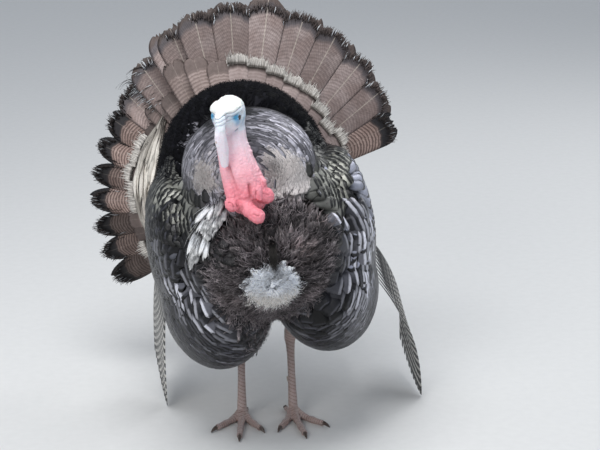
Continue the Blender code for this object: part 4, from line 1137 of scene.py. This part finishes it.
under = plume("undertail feather", 0.55,
              {"Root": (0.020, 0.015, 0.012), "Body": (0.045, 0.030, 0.022), "Sheen": (0.075, 0.050, 0.036),
               "Band": (0.012, 0.010, 0.010), "Edge": (0.22, 0.16, 0.11),
               "Band Start": 0.84, "Edge Start": 0.94, "Bars": 0.6, "Bar Count": 9.0, "Chevron": -0.10})
centre = middle("undertail")
roots, headings = rings(centre, (0.0, 0.35, -1.0), 0.15, 2.7, 0.0150, 0.0200, tree_of("undertail"), 71)
grow("undertail_feathers", small_vane, roots, headings, 0.055, 0.032, under, "black_feather", sink=0.011,
     rise=0.005, ragged=0.03, seed=72)


# ==== Tail =========================================================================
# Eighteen stiff feathers spread in a fan: brown vanes with fine dark bars, a pale shaft, a
# black band and a soft ragged fringe. Each half is swept back by its own angle.

TAIL_ROOT = Vector((-0.0243, 0.1308, 0.348))                # where the quills of the fan meet
TAIL_LEAN = math.radians(8.0)
FEATHERS = 18
FAN_START, FAN_END = math.radians(20.0), math.radians(219.0)
LEFT_SWEEP, RIGHT_SWEEP = math.radians(10.0), math.radians(27.0)
PITCH = (FAN_END - FAN_START) / FEATHERS


def fan_length(share):
    """How far the tail feathers reach from their root, round the fan."""
    return np.where(share < 0.48, 0.372 - 0.055 * ((share - 0.29) / 0.27) ** 2,
                    0.306 + 0.024 * ((share - 0.80) / 0.27) ** 2)


def fan_ways(share):
    """Unit vectors out along a tail feather and forward from its face."""
    right = np.clip((share - 0.40) / 0.20, 0.0, 1.0)
    sweep = LEFT_SWEEP + (RIGHT_SWEEP - LEFT_SWEEP) * right * right * (3.0 - 2.0 * right)
    sweep = sweep[:, None]
    angle = (FAN_START + (FAN_END - FAN_START) * share)[:, None]
    rise = np.array((0.0, math.sin(TAIL_LEAN), math.cos(TAIL_LEAN)))
    back = np.array((0.0, math.cos(TAIL_LEAN), -math.sin(TAIL_LEAN)))
    flat = np.array((1.0, 0.0, 0.0)) * np.cos(angle) + rise * np.sin(angle)
    return flat * np.cos(sweep) + back * np.sin(sweep), flat * np.sin(sweep) - back * np.cos(sweep)


def fan(name, form, share, near, far, half_pitch, forward, bend, material, slot, profile, **more):
    """Feathers of the fan from near to far along their own ways, held forward of its plane."""
    out, facing = fan_ways(share)
    stations = form["stations"][None, :, None]
    reach = near + (far[:, None, None] - near) * stations
    ahead = forward[:, None, None] - bend * stations ** 2
    spine = np.array(TAIL_ROOT) + out[:, None] * reach + facing[:, None] * ahead
    up = np.repeat(facing[:, None], len(form["stations"]), axis=1)
    half = half_pitch * reach[:, :, 0] * profile(form["stations"], share)
    return stamp(name, form, spine, up, half, material, slot, **more)


def rectrix_tip(stations, share):
    """Broad and squared where the fan is closed, narrower and rounded where it opens."""
    open_side = np.clip((share - 0.60) / 0.10, 0.0, 1.0)[:, None]
    start = 0.88 - 0.20 * open_side
    blunt = np.sqrt(np.clip(1.0 - ((stations[None] - start) / (1.012 - start)).clip(0) ** 2.2, 0.03, 1.0))
    return blunt * (1.0 - 0.10 * open_side * stations[None])


rectrix = plume("tail feather", 0.50,
                {"Root": (0.25, 0.200, 0.190), "Body": (0.27, 0.205, 0.190), "Sheen": (0.37, 0.300, 0.285),
                 "Band": (0.110, 0.095, 0.100), "Edge": (0.105, 0.080, 0.072),
                 "Band Start": 0.925, "Edge Start": 0.962, "Bars": 0.30, "Bar Count": 48.0,
                 "Bar Colour": (0.105, 0.072, 0.064), "Chevron": 0.050,
                 "Mottle": 0.9, "Shaft": 0.75, "Vary": 0.5},
                {"Root": (0.20, 0.145, 0.125), "Body": (0.23, 0.160, 0.138), "Sheen": (0.34, 0.25, 0.22),
                 "Band": (0.022, 0.020, 0.022), "Edge": (0.012, 0.012, 0.014), "Band Start": 0.885,
                 "Bars": 0.75, "Bar Count": 44.0, "Bar Colour": (0.060, 0.036, 0.030), "Shaft": 0.15},
                Specular_IOR_Level=0.3)
long_vane = vane_form(12, 60)
share = (np.arange(FEATHERS) + 0.5) / FEATHERS
between = np.arange(1, 9) / FEATHERS + 0.012
all_share = np.concatenate((share, between))
loose_side = np.clip((all_share - 0.56) / 0.06, 0.0, 1.0)
front_stack = 0.0007 * (9.0 - np.abs(np.arange(FEATHERS) - 8.5))
stack = np.concatenate((front_stack, np.full(len(between), -0.0012)))
# painted light and shade on the loose side of the fan: brighter as a whole, darker towards its lower end, and
# lit and shadowed feathers in turn
lit_and_shadowed_in_turn = np.cos(np.arange(len(all_share)) * math.pi)
darker = 1.15 * np.clip((all_share - 0.66) / 0.30, 0.0, 1.0)
shaded = 1.0 + loose_side * (0.28 - darker + 0.28 * lit_and_shadowed_in_turn)
rng = np.random.default_rng(80)
uneven = (rng.normal(0.003, 0.003, FEATHERS), rng.uniform(-0.001, 0.005, len(between)))
far = fan_length(all_share) + np.concatenate(uneven)
tail = fan("tail_feathers", long_vane, all_share, 0.045, far, 0.57 * PITCH, stack, 0.006, rectrix,
           "tail_feather", rectrix_tip, camber=0.07, thick=0.0004, ragged=0.010, strip=True,
           tone=np.maximum(loose_side, (all_share < 0.04) * 1.0), light=np.clip(shaded, 0.35, 1.4), seed=81)
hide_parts("tail")

fringe = plume("tail fringe", 0.70,
               {"Root": (0.030, 0.024, 0.023), "Body": (0.045, 0.036, 0.034), "Sheen": (0.080, 0.064, 0.060),
                "Band": (0.055, 0.045, 0.043), "Edge": (0.12, 0.105, 0.10),
                "Band Start": 0.6, "Edge Start": 0.85},
               {"Root": (0.25, 0.26, 0.28), "Body": (0.48, 0.50, 0.53), "Sheen": (0.58, 0.60, 0.62),
                "Band": (0.52, 0.54, 0.56)},
               Specular_IOR_Level=0.2)
rng = np.random.default_rng(82)
BARBS, BARB_HALF_WIDTH = 64, 0.0008
middles = np.repeat(share, BARBS)
across_tip = np.tile(np.linspace(-1.0, 1.0, BARBS), FEATHERS)
opened = np.clip((middles - 0.60) / 0.10, 0.0, 1.0)
spread = middles + across_tip * (0.5 - 0.10 * opened) / FEATHERS
blunt = np.sqrt(np.clip(1.0 - np.abs(across_tip) ** 2.2, 0.0, 1.0))
far = np.repeat(fan_length(share), BARBS) * (0.955 - 0.10 * opened + (0.050 + 0.10 * opened) * blunt)
far = far + rng.uniform(-0.002, 0.006, len(spread)) * (1.0 + 0.2 * opened)
out, facing = fan_ways(spread)
sideways = np.cross(facing, out)
base = far - rng.uniform(0.010, 0.018, len(spread))
lean = rng.normal(0.0, 0.0020, len(spread)) + across_tip * 0.0025
spine = (np.array(TAIL_ROOT)
         + out[:, None] * (base[:, None, None] + (far - base)[:, None, None] * hair_rows)
         + facing[:, None] * (0.003 + rng.uniform(-0.004, 0.004, len(spread))[:, None, None] * hair_rows)
         + sideways[:, None] * (lean[:, None, None] * hair_rows ** 2))
pale = (rng.uniform(0, 1, len(spread)) < np.where(middles > 0.50, 0.18, 0.10)) * 1.0
lit = np.where(middles > 0.56, 0.5, np.where(middles < 0.08, 0.8, 1.6))
stamp_hairs("tail_fringe", spine, facing, BARB_HALF_WIDTH, fringe, "tail_feather",
            camber=0.1, tone=pale, light=lit, seed=83)
LOOSE = 90
spread = rng.uniform(0.528, 0.560, LOOSE)
base = 0.235 + 0.095 * rng.uniform(0.0, 1.0, LOOSE)
out, facing = fan_ways(spread)
sideways = np.cross(facing, out)
long = rng.uniform(0.016, 0.034, LOOSE)[:, None, None]
drooping = 0.75 * hair_rows - 0.55 * hair_rows ** 2
leftward = np.sign(sideways[:, 0].mean())
spine = (np.array(TAIL_ROOT) + out[:, None] * (base[:, None, None] + long * drooping)
         - sideways[:, None] * long * hair_rows * leftward
         + facing[:, None] * (0.004 + rng.uniform(0.0, 0.006, LOOSE)[:, None, None] * hair_rows))
stamp_hairs("tail_loose_barbs", spine, facing, BARB_HALF_WIDTH, fringe, "tail_feather",
            camber=0.1, tone=(rng.uniform(0.0, 1.0, LOOSE) < 0.6) * 1.0, seed=84)


# ==== Tail coverts =================================================================
# Shorter feathers over the front of the fan: finely barred brown, a dark line, and then a
# broad brush-like cream tip. Long cream tongues lie over them on the bird's right.

cream = plume("tail covert", 0.60,
              {"Root": (0.30, 0.225, 0.205), "Body": (0.36, 0.280, 0.262), "Sheen": (0.44, 0.355, 0.335),
               "Band": (0.10, 0.075, 0.068), "Edge": (0.62, 0.58, 0.54),
               "Band Start": 0.890, "Edge Start": 0.915, "Bars": 0.18, "Bar Count": 34.0,
               "Bar Colour": (0.07, 0.045, 0.036), "Chevron": 0.02, "Mottle": 0.6,
               "Shaft": 0.2, "Vary": 0.4},
              {"Root": (0.19, 0.143, 0.130), "Body": (0.22, 0.167, 0.152), "Sheen": (0.33, 0.26, 0.24),
               "Band": (0.15, 0.115, 0.105), "Edge": (0.15, 0.115, 0.105), "Edge Start": 2.0,
               "Bars": 0.40, "Vary": 0.9},
              Specular_IOR_Level=0.3)


def covert_length(share):
    """How far the coverts reach from the tail root, round the fan."""
    closed_side = 0.215 + 0.185 * share
    open_side = 0.226 + 0.058 * np.exp(-((share - 0.42) / 0.17) ** 2)
    return np.where(share < 0.50, closed_side, open_side)


def covert_tip(stations, share):
    """One blunt tip for all of the coverts."""
    past_start = ((stations[None] - 0.90) / 0.112).clip(0)
    return np.sqrt(np.clip(1.0 - past_start ** 2.4, 0.05, 1.0)) * np.ones((len(share), 1))


covert_vane = vane_form(10, 24)
rng = np.random.default_rng(91)
COVERTS = 24
COVERT_PITCH = (FAN_END - FAN_START) / COVERTS
share = (np.arange(COVERTS) + 0.5) / COVERTS
drawn_in = 0.016 * ((share > 0.375) & (share < 0.53))
far = covert_length(share) + rng.normal(0.0, 0.0075, COVERTS) - drawn_in
stack = 0.009 + 0.0005 * (COVERTS / 2 - np.abs(np.arange(COVERTS) - COVERTS / 2))
some = rng.uniform(0.0, 1.0, COVERTS) < np.where(share > 0.70, 0.8, 0.5)
brushed = np.where(share < 0.375, 1.0, (share > 0.52) * some)
made = fan("tail_coverts_feathers", covert_vane, share, 0.060, far, 0.60 * COVERT_PITCH, stack, 0.004, cream,
           "covert_feather", covert_tip, camber=0.08, thick=0.0004, ragged=0.010, seed=92,
           tone=1.0 - brushed, light=1.0 - 0.35 * np.clip((share - 0.58) / 0.08, 0.0, 1.0))
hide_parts("tail_coverts")
BRISTLES = 34
middles = np.repeat(share, BRISTLES)
across_tip = np.tile(np.linspace(-1.0, 1.0, BRISTLES), COVERTS)
spread = middles + across_tip * 0.52 / COVERTS
tip = np.repeat(far, BRISTLES) * (0.975 + 0.030 * np.sqrt(1.0 - across_tip ** 2))
tip = tip + rng.normal(0.001, 0.0035, len(spread))
base = np.repeat(far, BRISTLES) - 0.018
out, facing = fan_ways(spread)
sideways = np.cross(facing, out)
sway = rng.normal(0.0, 0.0016, len(spread))[:, None, None]
spine = (np.array(TAIL_ROOT)
         + out[:, None] * (base[:, None, None] + (tip - base)[:, None, None] * hair_rows)
         + facing[:, None] * (np.repeat(stack, BRISTLES)[:, None, None] + 0.001 + 0.002 * hair_rows)
         + sideways[:, None] * (sway * hair_rows ** 2))
brush = plume("covert brush tip", 0.70,
              {"Root": (0.36, 0.33, 0.30), "Body": (0.56, 0.52, 0.48), "Sheen": (0.68, 0.65, 0.61),
               "Band": (0.66, 0.63, 0.59), "Band Start": 0.6, "Vary": 0.7},
              Specular_IOR_Level=0.2)
kept = np.repeat(brushed, BRISTLES) > 0.5
stamp_hairs("tail_covert_tips", spine[kept], facing[kept], 0.0009, brush, "covert_feather",
            camber=0.1, seed=94)

drape = plume("cream drape", 0.65,
              {"Root": (0.30, 0.27, 0.24), "Body": (0.50, 0.46, 0.41), "Sheen": (0.68, 0.64, 0.58),
               "Band": (0.60, 0.56, 0.50), "Band Start": 0.8, "Mottle": 0.6, "Vary": 0.9},
              Specular_IOR_Level=0.2)
TONGUES = 150
plume_rows = small_vane["stations"]
begin = rng.uniform(0.55, 0.84, TONGUES)
run = begin[:, None] + rng.uniform(0.09, 0.14, TONGUES)[:, None] * plume_rows[None]
path = np.interp(run, (0.52, 0.56, 0.60, 0.67, 0.78, 0.95), (0.232, 0.220, 0.207, 0.196, 0.188, 0.183))
room_for = np.interp(run, (0.54, 0.60, 0.66, 0.76, 0.86, 0.98), (0.003, 0.010, 0.019, 0.018, 0.010, 0.003))
radius = path + room_for * rng.uniform(-1.0, 1.0, TONGUES)[:, None]
out, facing = (ways.reshape(TONGUES, -1, 3) for ways in fan_ways(run.ravel()))
height = rng.uniform(0.016, 0.032, TONGUES)[:, None, None]
spine = np.array(TAIL_ROOT) + out * radius[:, :, None] + facing * height
half = rng.uniform(0.0030, 0.0055, TONGUES)[:, None] * round_tip(plume_rows)[None]
stamp("tail_covert_tongues", small_vane, spine, facing, half, drape, "covert_feather",
      camber=0.35, thick=0.0004, roll=0.45, ragged=0.05, seed=95)


# ==== Flight feathers ==============================================================
# The primaries are spread down to the floor, dark with white bars; the secondaries close the
# gap between the wing and the rump.

barred = plume("barred flight feather", 0.45,
               {"Root": (0.05, 0.045, 0.042), "Body": (0.54, 0.52, 0.48), "Sheen": (0.64, 0.62, 0.58),
                "Band": (0.016, 0.015, 0.015), "Band Start": 0.97, "Bars": 1.0, "Patchy": 0.0,
                "Bar Width": 0.35, "Bar Count": 16.0, "Bar Colour": (0.012, 0.011, 0.011),
                "Chevron": 0.020, "Mottle": 0.3, "Vary": 0.3},
               {"Body": (0.20, 0.155, 0.12), "Sheen": (0.26, 0.20, 0.16), "Bars": 0.9, "Bar Count": 22.0})
OVER = np.array((0.0037, -0.0342, 0.0))
OFF_FLOOR = 0.0015
flight_vane = vane_form(8, 44)


def flight(name, count, root_at, tip_at, bow, half_width, material, replaced, **more):
    """A row of flight feathers from a line of roots to a line of tips, bowed outwards. They
    stand in for the solid whose name is given last."""
    share = (np.arange(count) + 0.5) / count
    root = np.array([root_at(s) for s in share]) + OVER
    tip = np.array([tip_at(s) for s in share]) + OVER
    run = np.array([tip_at(s + 0.05) for s in share]) - np.array([tip_at(s - 0.05) for s in share])
    shaft = tip - root
    normal = unit(np.cross(shaft, run))
    stations = flight_vane["stations"]
    rows = stations[None, :, None]
    level = 0.0007 * np.arange(count)[:, None, None] * np.sign(bow)
    outwards = bow * np.sin(math.pi * rows) + level
    spine = root[:, None] + shaft[:, None] * rows + normal[:, None] * outwards
    spine[:, :, 2] = np.maximum(spine[:, :, 2], OFF_FLOOR)
    up = np.repeat(normal[:, None] * np.sign(bow), len(stations), axis=1)
    half = half_width * np.clip(stations / 0.15, 0.4, 1.0) * round_tip(0.35 + 0.65 * stations)
    made = stamp(name, flight_vane, spine, up, np.repeat(half[None], count, axis=0), material,
                 "wing_feather", camber=0.10, thick=0.0005, strip=True, **more)
    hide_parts(replaced)


for side, sign, x_root, x_tip, fold, bow in (("left", 1.0, 0.190, 0.293, -0.030, 0.022),
                                             ("right", -1.0, -0.179, -0.177, -0.012, 0.004)):
    flight("primaries_" + side + "_feathers", 10,
           lambda s: np.array((x_root, -0.030 + 0.120 * s, 0.262 + 0.040 * s)),
           lambda s: np.array((x_tip + fold * s, 0.055 + 0.130 * s, 0.070 * max(s, 0.0) ** 1.5 + 0.002)),
           bow * sign, 0.0155, barred, "primaries_" + side, seed=101)
    flight("secondaries_" + side + "_feathers", 12,
           lambda s: np.array((sign * (0.168 - 0.010 * s), 0.056 + 0.020 * s, 0.290 + 0.130 * s)),
           lambda s: np.array((sign * (0.186 - 0.020 * s), 0.196 + 0.008 * s, 0.112 + 0.200 * s)),
           0.006 * sign, 0.0170, barred, "secondaries_" + side, tone=np.full(12, 1.0), seed=103)


# ==== Beard ========================================================================
# A tuft of stiff black bristles that hangs from the middle of the breast.

BEARD_HAIRS = 90
beard_low, beard_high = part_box("beard")
rng = np.random.default_rng(111)
start = np.array(((beard_low.x + beard_high.x) / 2 - 0.002, beard_low.y + 0.016, beard_high.z - 0.006))
start = start + rng.normal(0.0, 1.0, (BEARD_HAIRS, 3)) * (0.0022, 0.001, 0.002)
fall = np.array((0.002, -0.006, -0.044)) + rng.normal(0.0, 1.0, (BEARD_HAIRS, 3)) * (0.004, 0.002, 0.005)
forward_bow = np.array((0, -0.010, 0)) * np.sin(math.pi * hair_rows * 0.8)
spine = start[:, None] + fall[:, None] * hair_rows + forward_bow
forwards = np.tile(np.array((0.0, -1.0, 0.0)), (BEARD_HAIRS, 1))
beard = stamp_hairs("beard_bristles", spine, forwards, 0.00045, bristle, "black_feather", seed=112)
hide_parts("beard")
